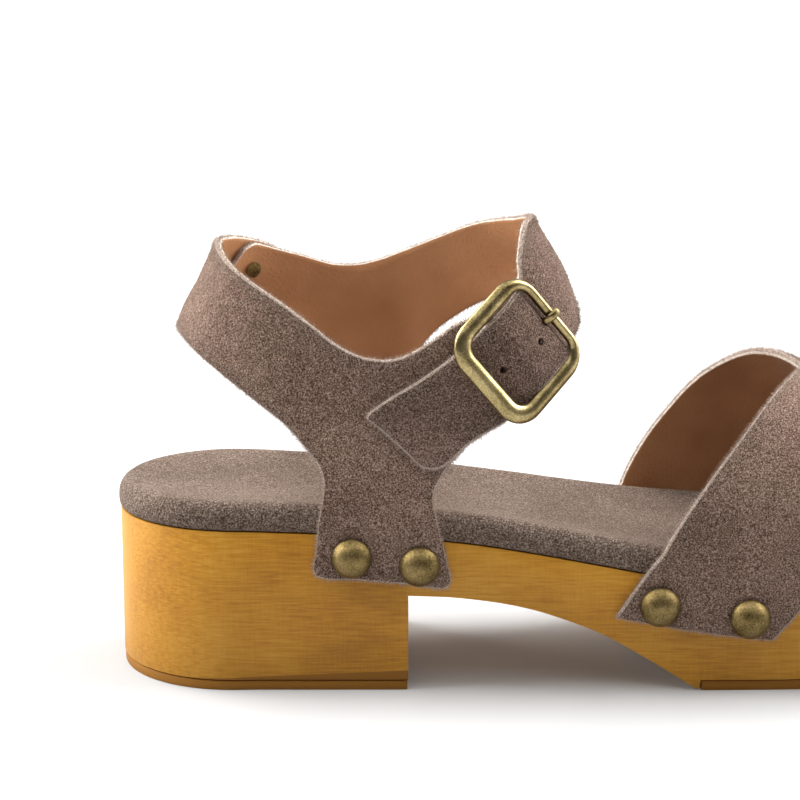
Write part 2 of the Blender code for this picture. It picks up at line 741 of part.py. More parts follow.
def rounded_frame(low, high, half_across, corner):
    """Points round a rectangle with round corners, in the buckle's own measure."""
    points = []
    centres = (
        (high - corner, half_across - corner, 0.0),
        (low + corner, half_across - corner, 90.0),
        (low + corner, corner - half_across, 180.0),
        (high - corner, corner - half_across, 270.0),
    )
    for forward, sideways, start in centres:
        for i in range(BUCKLE_CORNER_STEPS + 1):
            angle = math.radians(start + 90.0 * i / BUCKLE_CORNER_STEPS)
            points.append((forward + corner * math.cos(angle), sideways + corner * math.sin(angle)))
    return points


def build_buckle_frame(parts, cutters, look):
    """Square frame with a wide rear bar and a lower centre bar that carries strap and prong."""
    half_along = BUCKLE_ALONG / 2
    half_across = BUCKLE_ACROSS / 2
    half_thick = BUCKLE_THICK / 2
    levels = ((0.0, -half_thick), (0.0, half_thick - BUCKLE_CHAMFER), (BUCKLE_CHAMFER, half_thick))
    rings = []
    for inset, lift in levels:
        outer = rounded_frame(inset - half_along, half_along - inset, half_across - inset, BUCKLE_CORNER - inset)
        rings.append([on_buckle(a, b, lift) for a, b in outer])
    for inset, lift in reversed(levels):
        inner = rounded_frame(
            BUCKLE_REAR_BAR - half_along - inset,
            half_along - BUCKLE_FRONT_BAR + inset,
            half_across - BUCKLE_SIDE_BAR + inset,
            BUCKLE_CORNER - BUCKLE_SIDE_BAR + inset,
        )
        rings.append([on_buckle(a, b, lift) for a, b in inner])
    frame = new_object("buckle_frame", loft("buckle_frame", rings, closed=True), parts, look)
    level = [(at, CENTRE_BAR_LIFT) for at in (-10.0, -5.0, 0.0, 5.0, 10.0)]
    line = [(-at, lift) for at, lift in CENTRE_BAR_END] + level + list(reversed(CENTRE_BAR_END))
    path = [on_buckle(0.0, sideways, lift) for sideways, lift in line]
    bar = tube("centre_bar", path, CENTRE_BAR_RADIUS, cutters)
    hide_cutter(bar)
    add_boolean(frame, bar, "UNION")
    return frame


def tube(name, path, radius, collection):
    """A round bar along a line of points, as a closed mesh."""
    curve = bpy.data.curves.new(name, "CURVE")
    curve.dimensions = "3D"
    curve.bevel_depth = radius * MM
    curve.bevel_resolution = 2
    curve.use_fill_caps = True
    spline = curve.splines.new("POLY")
    spline.points.add(len(path) - 1)
    for point, place in zip(spline.points, path):
        point.co = (*(place * MM), 1.0)
    source = bpy.data.objects.new(name + "_line", curve)
    collection.objects.link(source)
    graph = bpy.context.evaluated_depsgraph_get()
    mesh = bpy.data.meshes.new_from_object(source.evaluated_get(graph))
    bpy.data.objects.remove(source, do_unlink=True)
    bm = bmesh.new()
    bm.from_mesh(mesh)
    bmesh.ops.remove_doubles(bm, verts=bm.verts, dist=0.01 * MM)
    bmesh.ops.recalc_face_normals(bm, faces=bm.faces)
    bm.to_mesh(mesh)
    bm.free()
    return new_object(name, mesh, collection, None)


def build_prong(parts, cutters, strap, look):
    """The prong comes up through the strap and rests on the frame's front bar."""
    steps = 3
    line = curve_through(PRONG_LINE, steps)
    path = [on_buckle(forward, 0.0, lift) for forward, lift in line]
    prong = tube("buckle_prong", path, PRONG_RADIUS, parts)
    prong.data.materials.append(look)
    longer = [path[0] * 2 - path[1]] + path + [path[-1] * 2 - path[-2]]
    slot = tube("prong_slot_cutter", longer, PRONG_RADIUS + PRONG_CLEARANCE, cutters)
    hide_cutter(slot)
    add_boolean(strap, slot, "DIFFERENCE")
    return prong


def dome(name, radius, height, place, normal, parts, look):
    """A round-headed nail or rivet: its turned profile stands on the leather, along the normal."""
    ball = (radius**2 + height**2) / (2 * height)
    spread = math.asin(radius / ball)
    rim = 0.6
    profile = [(0.0, height)]
    rings = 4
    for i in range(1, rings + 1):
        angle = spread * i / rings
        profile.append((ball * math.sin(angle), ball * math.cos(angle) - ball + height))
    profile[-1] = (radius, rim)
    profile += [(radius, 0.0), (0.0, 0.0)]
    mesh = bpy.data.meshes.new(name)
    points = [(r * MM, 0.0, h * MM) for r, h in profile]
    mesh.from_pydata(points, [(i, i + 1) for i in range(len(points) - 1)], [])
    item = new_object(name, mesh, parts, look)
    turned = item.modifiers.new("turned", "SCREW")
    turned.steps = 14
    turned.render_steps = 14
    turned.use_merge_vertices = True
    turned.merge_threshold = 0.00001
    item.location = place * MM
    item.rotation_euler = normal.to_track_quat("Z", "Y").to_euler()
    return item


def build_fastenings(parts, look):
    """Studs through the leather into the wood, heel rivets, and the buckle's rivet inside."""
    made = []
    seat = WALL + GAP
    for stud in QUARTER_STUDS:
        normal = ankle_normal(stud.arc, stud.height)
        place = wrap_ankle(stud.arc, stud.height, seat)
        made.append(dome(stud.name, STUD_RADIUS, STUD_HEIGHT, place, normal, parts, look))
    for stud in BAND_STUDS:
        normal = vamp_normal(stud.girth, stud.station)
        place = wrap_vamp(stud.girth, stud.station, seat)
        made.append(dome(stud.name, STUD_RADIUS, STUD_HEIGHT, place, normal, parts, look))
    for rivet in HEEL_RIVETS:
        normal = ankle_normal(rivet.arc, rivet.height)
        place = wrap_ankle(rivet.arc, rivet.height, OVER + seat + GAP)
        made.append(dome(rivet.name, RIVET_RADIUS, RIVET_HEIGHT, place, normal, parts, look))
    inward = -ankle_normal(BUCKLE_RIVET.arc, BUCKLE_RIVET.height)
    place = wrap_ankle(BUCKLE_RIVET.arc, BUCKLE_RIVET.height, -RIVET_INSIDE_GAP)
    made.append(dome(BUCKLE_RIVET.name, RIVET_RADIUS, RIVET_HEIGHT, place, inward, parts, look))
    return made


def main():
    clear_scene()
    scene = bpy.context.scene
    parts = bpy.data.collections.new("clog_sandal")
    cutters = bpy.data.collections.new("clog_sandal_cutters")
    scene.collection.children.link(parts)
    scene.collection.children.link(cutters)
    looks = make_materials()
    wood, rubber = looks["lacquered_wood"], looks["brown_rubber"]
    suede, brass = looks["taupe_suede"], looks["antique_brass"]

    build_wooden_sole(parts, cutters, wood)
    build_heel_lift(parts, rubber)
    build_forefoot_sole(parts, cutters, rubber)
    build_footbed(parts, suede)
    build_vamp(parts, cutters, suede)
    strap = build_quarters(parts, suede)
    build_buckle_frame(parts, cutters, brass)
    build_prong(parts, cutters, strap, brass)
    build_fastenings(parts, brass)

    frame = bpy.data.objects.new("shoe_frame", None)
    parts.objects.link(frame)
    for item in list(parts.objects) + list(cutters.objects):
        if item != frame:
            item.parent = frame
    frame.location = Vector((-ORIGIN_STATION, -ORIGIN_SIDE, 0.0)) * MM


main()
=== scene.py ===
"""Looks of the clog sandal: suede, lining, lacquered wood, rubber and antique brass.

The shoe's own measure is millimetres: a station runs from the back of the heel to the toe, a
height from the floor, and a lift from the lining side of the leather outwards.
"""

import logging
import math
from dataclasses import dataclass, field
from enum import Enum, IntEnum
from typing import Callable, NamedTuple, Sequence, TypeVar, Union

import bmesh
import bpy
import numpy as np
from mathutils import Matrix, Vector


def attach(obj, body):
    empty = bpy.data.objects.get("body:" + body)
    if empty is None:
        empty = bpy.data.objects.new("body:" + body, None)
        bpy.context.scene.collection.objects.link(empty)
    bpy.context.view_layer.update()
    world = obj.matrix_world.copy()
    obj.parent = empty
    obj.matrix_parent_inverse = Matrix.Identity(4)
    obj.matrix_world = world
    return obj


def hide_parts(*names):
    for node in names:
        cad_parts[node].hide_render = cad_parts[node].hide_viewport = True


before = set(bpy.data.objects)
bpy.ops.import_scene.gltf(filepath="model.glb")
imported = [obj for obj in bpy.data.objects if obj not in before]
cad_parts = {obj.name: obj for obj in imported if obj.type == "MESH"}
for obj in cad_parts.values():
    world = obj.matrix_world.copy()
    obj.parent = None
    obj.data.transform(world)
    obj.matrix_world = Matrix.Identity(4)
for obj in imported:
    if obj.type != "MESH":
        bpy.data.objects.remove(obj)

LOG = logging.getLogger("clog_sandal")

MM = 0.001
MERGE = 0.002 * MM
ORIGIN = np.array((128.0, 1.42, 0.0))
ALL_SMOOTH = 180.0

Points = np.ndarray
Place = Callable[[Points, Points, Points], Points]
Colour = tuple[float, float, float, float]
Item = bpy.types.Object
Material = bpy.types.Material
Mesh = bpy.types.Mesh
Node = bpy.types.Node
Socket = bpy.types.NodeSocket
Tree = bpy.types.NodeTree
Input = Union[Socket, Material, float, str, tuple[float, ...]]
Sizes = dict[str, Union[float, int, Item]]
Row = TypeVar("Row", bound=tuple)


class Slot(str, Enum):
    """Material slots of the record."""

    WOOD = "wood"
    RUBBER = "rubber"
    SUEDE = "suede"
    FOOTBED = "suede_footbed"
    BRASS = "brass"


class LeatherFace(IntEnum):
    """Order of the materials on a leather piece."""

    SUEDE = 0
    CUT_EDGE = 1
    LINING_EDGE = 2
    LINING = 3


class Pull(IntEnum):
    """Axis along which an outline is pulled into a block: a side view or a plan."""

    SIDEWAYS = 1
    UPWARD = 2


class Cut(str, Enum):
    """What a Boolean step does with its cutter."""

    TAKE_AWAY = "DIFFERENCE"
    KEEP_COMMON = "INTERSECT"
    JOIN = "UNION"


# Tables of the form


class PlanRow(NamedTuple):
    """Middle and half width of the sole at a station."""

    station: float
    centre: float
    half: float


class ProfileRow(NamedTuple):
    """Height of a side profile at a station."""

    station: float
    height: float


class BedRow(NamedTuple):
    """Ring of the footbed: its reach from the spine, inset from the rim and height on the wood."""

    reach: float
    inset: float
    height: float


class AnkleRow(NamedTuple):
    """Level cut through the ankle form."""

    height: float
    back: float
    front: float
    outer: float
    inner: float


class RibRow(NamedTuple):
    """Line across an ankle piece, from its lower to its upper edge; tilt lifts the lower edge more."""

    low_arc: float
    low_height: float
    high_arc: float
    high_height: float
    lift: float = 0.0
    tilt: float = 0.0


class BandRow(NamedTuple):
    """Line across a vamp band, from its rear to its front edge, at degrees round the foot."""

    girth: float
    rear: float
    front: float
    lift: float = 0.0


class EdgeStep(NamedTuple):
    """Turn of the leather's edge: inset from the cutting line and depth from lining to suede."""

    inset: float
    depth: float
    face: LeatherFace


class NailPlace(NamedTuple):
    """Node of a nail head or rivet, with its place in pattern measure."""

    node: str
    u: float
    v: float


class SoftBox(NamedTuple):
    """Square studio light: its place and size in metres, and its power."""

    name: str
    place: tuple[float, float, float]
    size: float
    watts: float


def rows_of(kind: Callable[..., Row], *rows: Sequence) -> tuple[Row, ...]:
    """Table of one kind of row."""
    return tuple(kind(*row) for row in rows)


SOLE_PLAN = rows_of(
    PlanRow,
    (0.0, 0.0, 33.5),
    (33.0, 0.0, 33.5),
    (60.0, -2.1, 32.6),
    (94.0, -5.0, 31.0),
    (120.0, -5.0, 32.6),
    (147.0, -3.5, 36.0),
    (170.0, -1.1, 39.6),
    (190.0, 0.8, 41.7),
    (210.0, 2.0, 42.0),
    (256.0, 8.0, 42.0),
)
WOOD_TOP = rows_of(
    ProfileRow,
    (-6.0, 45.3),
    (26.0, 45.2),
    (51.0, 44.5),
    (89.0, 42.2),
    (110.0, 39.3),
    (129.0, 36.0),
    (144.0, 33.2),
    (160.0, 30.5),
    (180.0, 28.2),
    (200.0, 27.8),
    (225.0, 30.0),
    (262.0, 36.5),
)
ARCH = rows_of(
    ProfileRow,
    (79.9, 27.0),
    (90.0, 26.6),
    (98.4, 25.7),
    (106.0, 24.6),
    (114.0, 22.9),
    (123.2, 20.0),
    (132.3, 16.4),
    (144.0, 9.9),
    (158.9, 0.6),
)
TREAD_BASE = rows_of(
    ProfileRow,
    (160.2, 0.0),
    (200.0, 0.0),
    (222.0, 1.4),
    (240.0, 5.0),
    (262.0, 12.0),
)
VAMP_TOP = rows_of(
    ProfileRow,
    (60.0, 98.0),
    (130.0, 94.0),
    (160.0, 90.5),
    (190.0, 83.0),
    (215.0, 72.5),
    (262.0, 52.0),
)
ANKLE = rows_of(
    AnkleRow,
    (28.0, 20.0, 132.0, 34.0, 28.0),
    (50.0, 20.0, 132.0, 34.0, 28.0),
    (70.0, 19.0, 130.0, 32.0, 27.5),
    (95.0, 20.3, 126.5, 29.5, 27.0),
    (108.0, 26.3, 122.6, 28.5, 26.6),
    (122.0, 32.8, 114.8, 27.5, 26.0),
    (134.0, 37.5, 108.0, 26.5, 25.0),
)

WALL = 2.0
GAP = 0.3
OVER = WALL + GAP
RAISED = 0.9
STRAP_CREST = 6.3

BED_SECTION = rows_of(
    BedRow,
    (0.0, 0.6, GAP),
    (0.6, 0.6, GAP),
    (1.0, 0.6, GAP),
    (1.0, 0.0, 0.5),
    (1.0, -0.35, 1.2),
    (1.0, -0.5, 2.2),
    (1.0, -0.5, 3.4),
    (1.0, -0.4, 4.6),
    (1.0, -0.1, 5.6),
    (1.0, 0.4, 6.5),
    (1.0, 1.0, 7.2),
    (1.0, 1.8, 7.75),
    (1.0, 2.8, 8.0),
    (0.94, 2.8, 7.95),
    (0.86, 2.4, 7.6),
    (0.7, 2.4, 7.05),
    (0.5, 2.4, 6.6),
    (0.25, 2.4, 6.35),
    (0.0, 2.4, 6.3),
)
LATERAL_RIBS = rows_of(
    RibRow,
    (-36.0, 97.0, -35.5, 108.0, OVER),
    (-33.5, 92.2, -33.0, 113.2, OVER),
    (-28.0, 91.6, -28.0, 115.6, OVER),
    (-22.0, 91.8, -22.0, 117.0, OVER),
    (-15.5, 92.6, -15.5, 118.0, OVER),
    (-9.0, 93.7, -9.0, 118.3, OVER),
    (-3.5, 94.3, -3.5, 118.2, 1.8),
    (2.0, 94.3, 2.0, 117.7, 0.9),
    (7.0, 93.4, 7.3, 116.8, 0.2),
    (12.0, 92.1, 12.6, 115.6),
    (18.5, 89.2, 18.0, 114.0),
    (25.0, 85.6, 23.5, 112.1),
    (34.0, 79.6, 33.5, 108.1),
    (41.0, 74.2, 42.0, 104.0),
    (46.6, 67.4, 49.0, 100.0),
    (49.8, 62.6, 53.0, 97.2),
    (50.5, 57.5, 56.5, 95.0),
    (48.8, 50.0, 59.6, 93.4),
    (47.9, 41.0, 61.6, 92.6),
    (47.8, 33.3, 63.0, 92.2),
    (59.0, 32.2, 64.0, 92.0),
    (70.0, 31.2, 64.9, 91.8),
    (81.4, 30.1, 65.8, 91.7),
    (80.8, 38.5, 67.0, 91.6),
    (78.7, 47.5, 69.0, 91.6),
    (77.6, 54.4, 72.5, 92.3),
    (79.6, 59.4, 77.2, 94.4),
    (83.6, 64.0, 82.6, 97.6),
    (90.0, 70.2, 88.0, 101.1),
    (98.0, 77.2, 94.0, 102.6),
    (106.5, 84.4, 99.5, 104.4),
    (114.0, 90.5, 105.5, 108.6),
    (121.0, 96.2, 111.5, 112.8),
    (124.5, 101.0, 116.5, 114.0),
    (125.5, 105.0, 121.0, 112.4),
)
MEDIAL_RIBS = rows_of(
    RibRow,
    (11.5, 99.0, 18.5, 115.0),
    (14.0, 94.4, 22.0, 116.4),
    (20.5, 92.6, 26.5, 115.6),
    (28.0, 89.4, 31.0, 114.4),
    (40.0, 81.6, 40.0, 112.2),
    (46.0, 74.4, 46.5, 110.4),
    (49.6, 66.6, 50.5, 109.4),
    (50.4, 58.6, 54.0, 109.0),
    (49.4, 50.0, 57.8, 108.9),
    (48.9, 41.0, 60.4, 109.1),
    (48.8, 33.3, 62.2, 109.4),
    (59.0, 32.2, 63.4, 109.7),
    (69.5, 31.2, 64.5, 109.9),
    (80.0, 30.2, 65.6, 110.2),
    (79.2, 38.5, 67.3, 110.6),
    (78.0, 47.5, 69.6, 111.3),
    (77.0, 56.0, 72.6, 112.3),
    (76.4, 65.0, 76.2, 113.5),
    (76.8, 75.0, 80.4, 114.8),
    (79.0, 83.6, 85.0, 116.3),
    (83.4, 89.0, 90.0, 117.8),
    (89.0, 93.2, 95.2, 119.4),
    (95.0, 96.8, 100.8, 120.9),
    (102.0, 99.8, 107.0, 122.2),
    (110.0, 101.8, 114.0, 123.2),
    (118.5, 102.8, 121.0, 124.0, 0.2),
    (126.0, 101.8, 130.0, 124.9, 1.4),
    (132.5, 99.8, 139.5, 125.3, OVER),
    (138.0, 97.4, 147.6, 124.4, OVER),
    (144.0, 94.8, 156.0, 117.4, OVER, 0.5),
    (147.9, 92.8, 159.2, 111.8, OVER, 1.2),
    (150.2, 91.4, 161.2, 109.4, 2.2, 2.2),
    (152.8, 90.0, 163.7, 108.0, 4.9, 2.0),
    (155.9, 87.3, 167.5, 105.3, 5.9, 0.9),
    (159.1, 84.2, 171.2, 102.4, STRAP_CREST, 0.3),
    (163.0, 80.0, 176.0, 98.2, 5.2),
    (166.1, 75.8, 180.1, 94.2, 3.9),
    (170.8, 72.5, 184.8, 90.4, 3.0),
    (179.6, 67.8, 191.6, 85.8, OVER),
    (184.4, 63.9, 197.6, 82.3, OVER),
    (188.0, 62.3, 201.8, 79.6, OVER),
    (191.4, 62.6, 204.4, 77.6, OVER),
    (193.6, 64.6, 205.0, 76.2, OVER),
)
LATERAL_BAND = rows_of(
    BandRow,
    (-21.0, 136.3, 179.2),
    (-8.0, 143.9, 189.5),
    (2.4, 150.8, 195.8),
    (16.5, 159.3, 203.4, RAISED),
    (35.0, 170.4, 212.0, RAISED),
    (55.6, 181.3, 219.5, RAISED),
    (75.0, 190.8, 224.8, RAISED),
    (97.0, 197.8, 228.6, RAISED),
    (122.0, 202.4, 231.4, RAISED),
    (148.0, 205.4, 233.8, RAISED),
    (165.0, 206.8, 235.2, 0.4),
    (180.0, 207.2, 236.0),
    (190.0, 207.2, 235.5),
    (201.0, 206.2, 233.0),
)
MEDIAL_BAND = rows_of(
    BandRow,
    (-21.0, 205.0, 231.5),
    (-10.0, 206.5, 233.5),
    (2.0, 207.2, 234.5),
    (15.0, 206.8, 234.8),
    (33.0, 204.8, 233.8),
    (55.0, 201.2, 231.0),
    (75.0, 197.0, 228.0),
    (92.0, 192.0, 225.0),
    (108.0, 186.2, 221.5),
    (125.0, 179.4, 216.0),
    (140.5, 171.1, 209.5),
    (155.7, 163.0, 203.0),
    (167.5, 156.0, 197.0),
    (180.0, 149.0, 191.0),
    (190.0, 143.4, 184.0),
    (201.0, 137.5, 176.5),
)
EDGE_STEPS = rows_of(
    EdgeStep,
    (0.50, 1.00, LeatherFace.CUT_EDGE),
    (0.18, 0.93, LeatherFace.CUT_EDGE),
    (0.00, 0.76, LeatherFace.CUT_EDGE),
    (0.00, 0.40, LeatherFace.LINING_EDGE),
    (0.00, 0.12, LeatherFace.LINING_EDGE),
    (0.22, 0.00, LeatherFace.LINING_EDGE),
)
OUTER_QUARTER_NAILS = rows_of(
    NailPlace,
    ("stud_quarter_lateral_rear", 56.8, 38.6),
    ("stud_quarter_lateral_front", 74.2, 36.3),
)
INNER_QUARTER_NAILS = rows_of(
    NailPlace,
    ("stud_quarter_medial_rear", -56.8, 38.6),
    ("stud_quarter_medial_front", -74.2, 36.3),
)
OUTER_BAND_NAILS = rows_of(
    NailPlace,
    ("stud_vamp_lateral_1", -15.4, 148.2),
    ("stud_vamp_lateral_2", -15.2, 172.6),
    ("stud_vamp_lateral_3", -14.5, 211.5),
    ("stud_vamp_lateral_4", -14.5, 226.0),
)
INNER_BAND_NAILS = rows_of(
    NailPlace,
    ("stud_vamp_medial_1", 195.2, 148.5),
    ("stud_vamp_medial_2", 195.2, 169.5),
    ("stud_vamp_medial_3", 194.5, 213.0),
    ("stud_vamp_medial_4", 194.5, 227.5),
)
HEEL_RIVETS = rows_of(
    NailPlace,
    ("heel_rivet_upper", -24.2, 109.0),
    ("heel_rivet_lower", -20.0, 101.0),
)
BUCKLE_RIVET = NailPlace("buckle_rivet", 88.0, 82.0)


# Curves and forms


def smooth_step(value: Points) -> Points:
    """Smooth step from 0 to 1."""
    value = np.clip(value, 0.0, 1.0)
    return value * value * (3 - 2 * value)


def power_wave(wave: Points, power: float) -> Points:
    """Sine or cosine values squared off to a rounder or boxier curve."""
    return np.sign(wave) * np.abs(wave) ** (2 / power)


def unit(ways: Points) -> Points:
    """Directions of length 1."""
    return ways / np.linalg.norm(ways, axis=-1, keepdims=True)


def full_turn(steps: int) -> Points:
    """Angles of equal steps once round."""
    return np.linspace(0.0, 2 * np.pi, steps, endpoint=False)


def row_before(rows: Points, at: Points) -> tuple[Points, Points]:
    """Number of the row before each place, and the share of the way to the next row."""
    i = np.clip(np.floor(at).astype(int), 0, len(rows) - 2)
    return i, (at - i)[:, None]


def spline(rows: Points, at: Points) -> Points:
    """Smooth line through rows.

    Args:
        rows: Rows that the line passes through.
        at: Places along the rows, counted from 0 at the first one.

    Returns:
        One row of values for every place.
    """
    i, t = row_before(rows, at)
    a, b, c, d = (rows[np.clip(i + k, 0, len(rows) - 1)] for k in (-1, 0, 1, 2))
    return (2 * b + (c - a) * t + (2 * a - 5 * b + 4 * c - d) * t**2 + (3 * b - a - 3 * c + d) * t**3) / 2


def moved_out(outline: Points, distance: float) -> Points:
    """The closed outline with every point moved out along its own normal."""
    along = unit(np.roll(outline, -1, axis=0) - np.roll(outline, 1, axis=0))
    return outline + distance * np.column_stack((along[:, 1], -along[:, 0]))


class Curve:
    """One column of a table read as a smooth curve that never overshoots its rows."""

    def __init__(self, table: Sequence[NamedTuple], column: str) -> None:
        """Take a column of the table over its first column.

        Args:
            table: Rows in rising order of their first column.
            column: Name of the column that the curve follows.
        """
        self.keys = np.array([row[0] for row in table])
        self.values = np.array([getattr(row, column) for row in table])
        spans = np.diff(self.keys)
        slopes = np.diff(self.values) / spans
        before, after = slopes[:-1], slopes[1:]
        weight_before = 2 * spans[1:] + spans[:-1]
        weight_after = spans[1:] + 2 * spans[:-1]
        level = before * after <= 0
        shares = weight_before / np.where(level, 1.0, before) + weight_after / np.where(level, 1.0, after)
        inner = np.where(level, 0.0, (weight_before + weight_after) / np.where(level, 1.0, shares))
        self.tangents = np.concatenate((slopes[:1], inner, slopes[-1:]))

    def __call__(self, at: Points) -> Points:
        """Read the curve.

        Args:
            at: Places on the first column; beyond its ends the curve stays level.

        Returns:
            Value of the curve at every place.
        """
        at = np.clip(at, self.keys[0], self.keys[-1])
        i = np.clip(np.searchsorted(self.keys, at, side="right") - 1, 0, len(self.keys) - 2)
        span = self.keys[i + 1] - self.keys[i]
        t = (at - self.keys[i]) / span
        start = (1 + 2 * t) * (1 - t) ** 2 * self.values[i] + t * (1 - t) ** 2 * span * self.tangents[i]
        end = t * t * (3 - 2 * t) * self.values[i + 1] + t * t * (t - 1) * span * self.tangents[i + 1]
        return start + end


@dataclass(frozen=True)
class SoleForm:
    """Outline and side profile of the sole."""

    length: float = 256.0
    heel_length: float = 79.9
    heel_round: float = 33.0
    toe_round: float = 56.0
    toe_power: float = 2.3
    rubber: float = 2.7
    bed_thickness: float = 8.0
    slope_step: float = 0.5
    end_steps: int = 40
    middle_steps: int = 60
    centre: Curve = Curve(SOLE_PLAN, "centre")
    plan_half: Curve = Curve(SOLE_PLAN, "half")
    top: Curve = Curve(WOOD_TOP, "height")
    arch: Curve = Curve(ARCH, "height")
    tread: Curve = Curve(TREAD_BASE, "height")

    def half(self, station: Points) -> Points:
        """Half the sole's width, rounded off at heel and toe.

        Args:
            station: Places along the sole.

        Returns:
            Half width at every place.
        """
        heel = np.clip((self.heel_round - station) / self.heel_round, 0.0, 1.0)
        toe = np.clip((station - self.length + self.toe_round) / self.toe_round, 0.0, 1.0)
        ends = np.sqrt(1 - heel**2) * (1 - toe**self.toe_power) ** (1 / self.toe_power)
        return self.plan_half(station) * ends

    def side(self, station: Points, side: Points, offset: float) -> Points:
        """Sideways place of the sole's edge.

        Args:
            station: Places along the sole.
            side: -1 for the outer edge and +1 for the inner one.
            offset: How far the edge is moved out.

        Returns:
            Sideways place of the edge at every station.
        """
        step = self.slope_step
        slope = (self.half(station + step) - self.half(station - step)) / (2 * step)
        return self.centre(station) + side * (self.half(station) + offset * np.sqrt(1 + slope * slope))

    def outline(self) -> Points:
        """Points round the sole, from the back of the heel along the outer side.

        Returns:
            One row of station and side per point.
        """
        toe_start = self.length - self.toe_round
        quarter = np.pi / 2 * np.arange(self.end_steps + 1) / self.end_steps
        stations = np.concatenate(
            (
                self.heel_round * (1 - np.cos(quarter[:-1])),
                np.linspace(self.heel_round, toe_start, self.middle_steps, endpoint=False),
                toe_start + self.toe_round * np.sin(quarter),
            )
        )
        outer = np.column_stack((stations, self.centre(stations) - self.half(stations)))
        back = stations[1:-1][::-1]
        inner = np.column_stack((back, self.centre(back) + self.half(back)))
        return np.concatenate((outer, inner))


SOLE = SoleForm()


@dataclass
class AnkleForm:
    """Lining side of the collar, and the way round it."""

    power: float = 2.3
    side_gap: float = 1.0
    bend_low: float = 53.0
    bend_high: float = 76.0
    measure_height: float = 95.0
    measure_steps: int = 360
    slope_step: float = 0.1

    def __post_init__(self) -> None:
        """Measure the way round at the measuring height, once forwards and once backwards."""
        self.columns = {name: Curve(ANKLE, name) for name in ("back", "front", "outer", "inner")}
        half_turns = np.linspace(0.0, np.pi, self.measure_steps + 1)
        outer, inner = self._lengths(half_turns), self._lengths(-half_turns)
        whole = outer[-1] + inner[-1]
        forwards = np.concatenate((outer, (whole - inner[::-1])[1:]))
        backwards = np.concatenate((inner, (whole - outer[::-1])[1:]))
        turns = np.linspace(0.0, 2 * np.pi, len(forwards))
        self.arcs = np.concatenate((-backwards[:0:-1], forwards))
        self.turns = np.concatenate((-turns[:0:-1], turns))

    def _lengths(self, turns: Points) -> Points:
        """Lengths along the form at the measuring height."""
        points = self.point(turns, np.full_like(turns, self.measure_height))
        return np.concatenate(([0.0], np.cumsum(np.linalg.norm(np.diff(points, axis=0), axis=1))))

    def point(self, turn: Points, height: Points) -> Points:
        """Point of the form.

        Args:
            turn: Angle round the ankle, 0 at the back of the heel and positive outside.
            height: Height above the floor.

        Returns:
            Points on the lining side.
        """
        back, front = self.columns["back"](height), self.columns["front"](height)
        outside = np.sin(turn) > 0
        reach = np.where(outside, self.columns["outer"](height), self.columns["inner"](height))
        x = (back + front) / 2 - (front - back) / 2 * power_wave(np.cos(turn), self.power)
        free = -reach * power_wave(np.sin(turn), self.power)
        held = SOLE.side(x, np.where(outside, -1.0, 1.0), self.side_gap)
        share = smooth_step((height - self.bend_low) / (self.bend_high - self.bend_low))
        return np.stack((x, held + (free - held) * share, height), axis=-1)

    def _at(self, arc: Points, height: Points) -> Points:
        """Point of the form at a length round the ankle."""
        return self.point(np.interp(arc, self.arcs, self.turns), height)

    def normal(self, arc: Points, height: Points) -> Points:
        """Outward direction of the form.

        Args:
            arc: Length round the ankle.
            height: Height above the floor.

        Returns:
            Directions of length 1.
        """
        step = self.slope_step
        around = self._at(arc + step, height) - self._at(arc - step, height)
        upward = self._at(arc, height + step) - self._at(arc, height - step)
        return unit(np.cross(around, upward))

    def wrap(self, arc: Points, height: Points, lift: Points) -> Points:
        """Flat pattern laid round the ankle, lift above the lining side."""
        arc, height, lift = np.broadcast_arrays(*(np.asarray(v, float) for v in (arc, height, lift)))
        return self._at(arc, height) + self.normal(arc, height) * lift[..., None]

    def wrap_from_inside(self, arc: Points, height: Points, lift: Points) -> Points:
        """The same with the arc measured along the inner side and on round the front."""
        return self.wrap(-np.asarray(arc, float), height, lift)


@dataclass(frozen=True)
class VampForm:
    """Lining side of the bands over the forefoot."""

    power: float = 2.4
    ridge: float = 5.0
    side_gap: float = 1.0
    slope_step: float = 0.2
    top: Curve = Curve(VAMP_TOP, "height")

    def point(self, girth: Points, station: Points) -> Points:
        """Point of the form.

        Args:
            girth: Degrees round the foot; past either rim a degree is a millimetre down the side.
            station: Places along the sole.

        Returns:
            Points on the lining side.
        """
        rim = SOLE.top(station) + SOLE.bed_thickness
        outer, inner = (SOLE.side(station, side, self.side_gap) for side in (-1.0, 1.0))
        angle = np.radians(np.clip(girth, 0.0, 180.0))
        across = (inner - outer) / 2 * power_wave(np.cos(angle), self.power)
        y = (outer + inner) / 2 - across + self.ridge * np.sin(angle) ** 2
        rise = (self.top(station) - rim) * np.abs(np.sin(angle)) ** (2 / self.power)
        rise = np.where((girth <= 0.0) | (girth >= 180.0), 0.0, rise)
        drop = np.minimum(girth, 0.0) + np.minimum(180.0 - girth, 0.0)
        return np.stack((station, y, rim + rise + drop), axis=-1)

    def normal(self, girth: Points, station: Points) -> Points:
        """Outward direction of the form.

        Args:
            girth: Degrees round the foot.
            station: Places along the sole.

        Returns:
            Directions of length 1.
        """
        step = self.slope_step
        upward = self.point(girth + step, station) - self.point(girth - step, station)
        forward = self.point(girth, station + step) - self.point(girth, station - step)
        return unit(np.cross(forward, upward))

    def wrap(self, girth: Points, station: Points, lift: Points) -> Points:
        """Flat pattern laid over the forefoot, lift above the lining side."""
        girth, station, lift = np.broadcast_arrays(*(np.asarray(v, float) for v in (girth, station, lift)))
        return self.point(girth, station) + self.normal(girth, station) * lift[..., None]


# Mesh helpers


def to_frame(points: Points) -> Points:
    """Points of the shoe's measure in the shared frame, in metres."""
    return (np.asarray(points) - ORIGIN) * MM


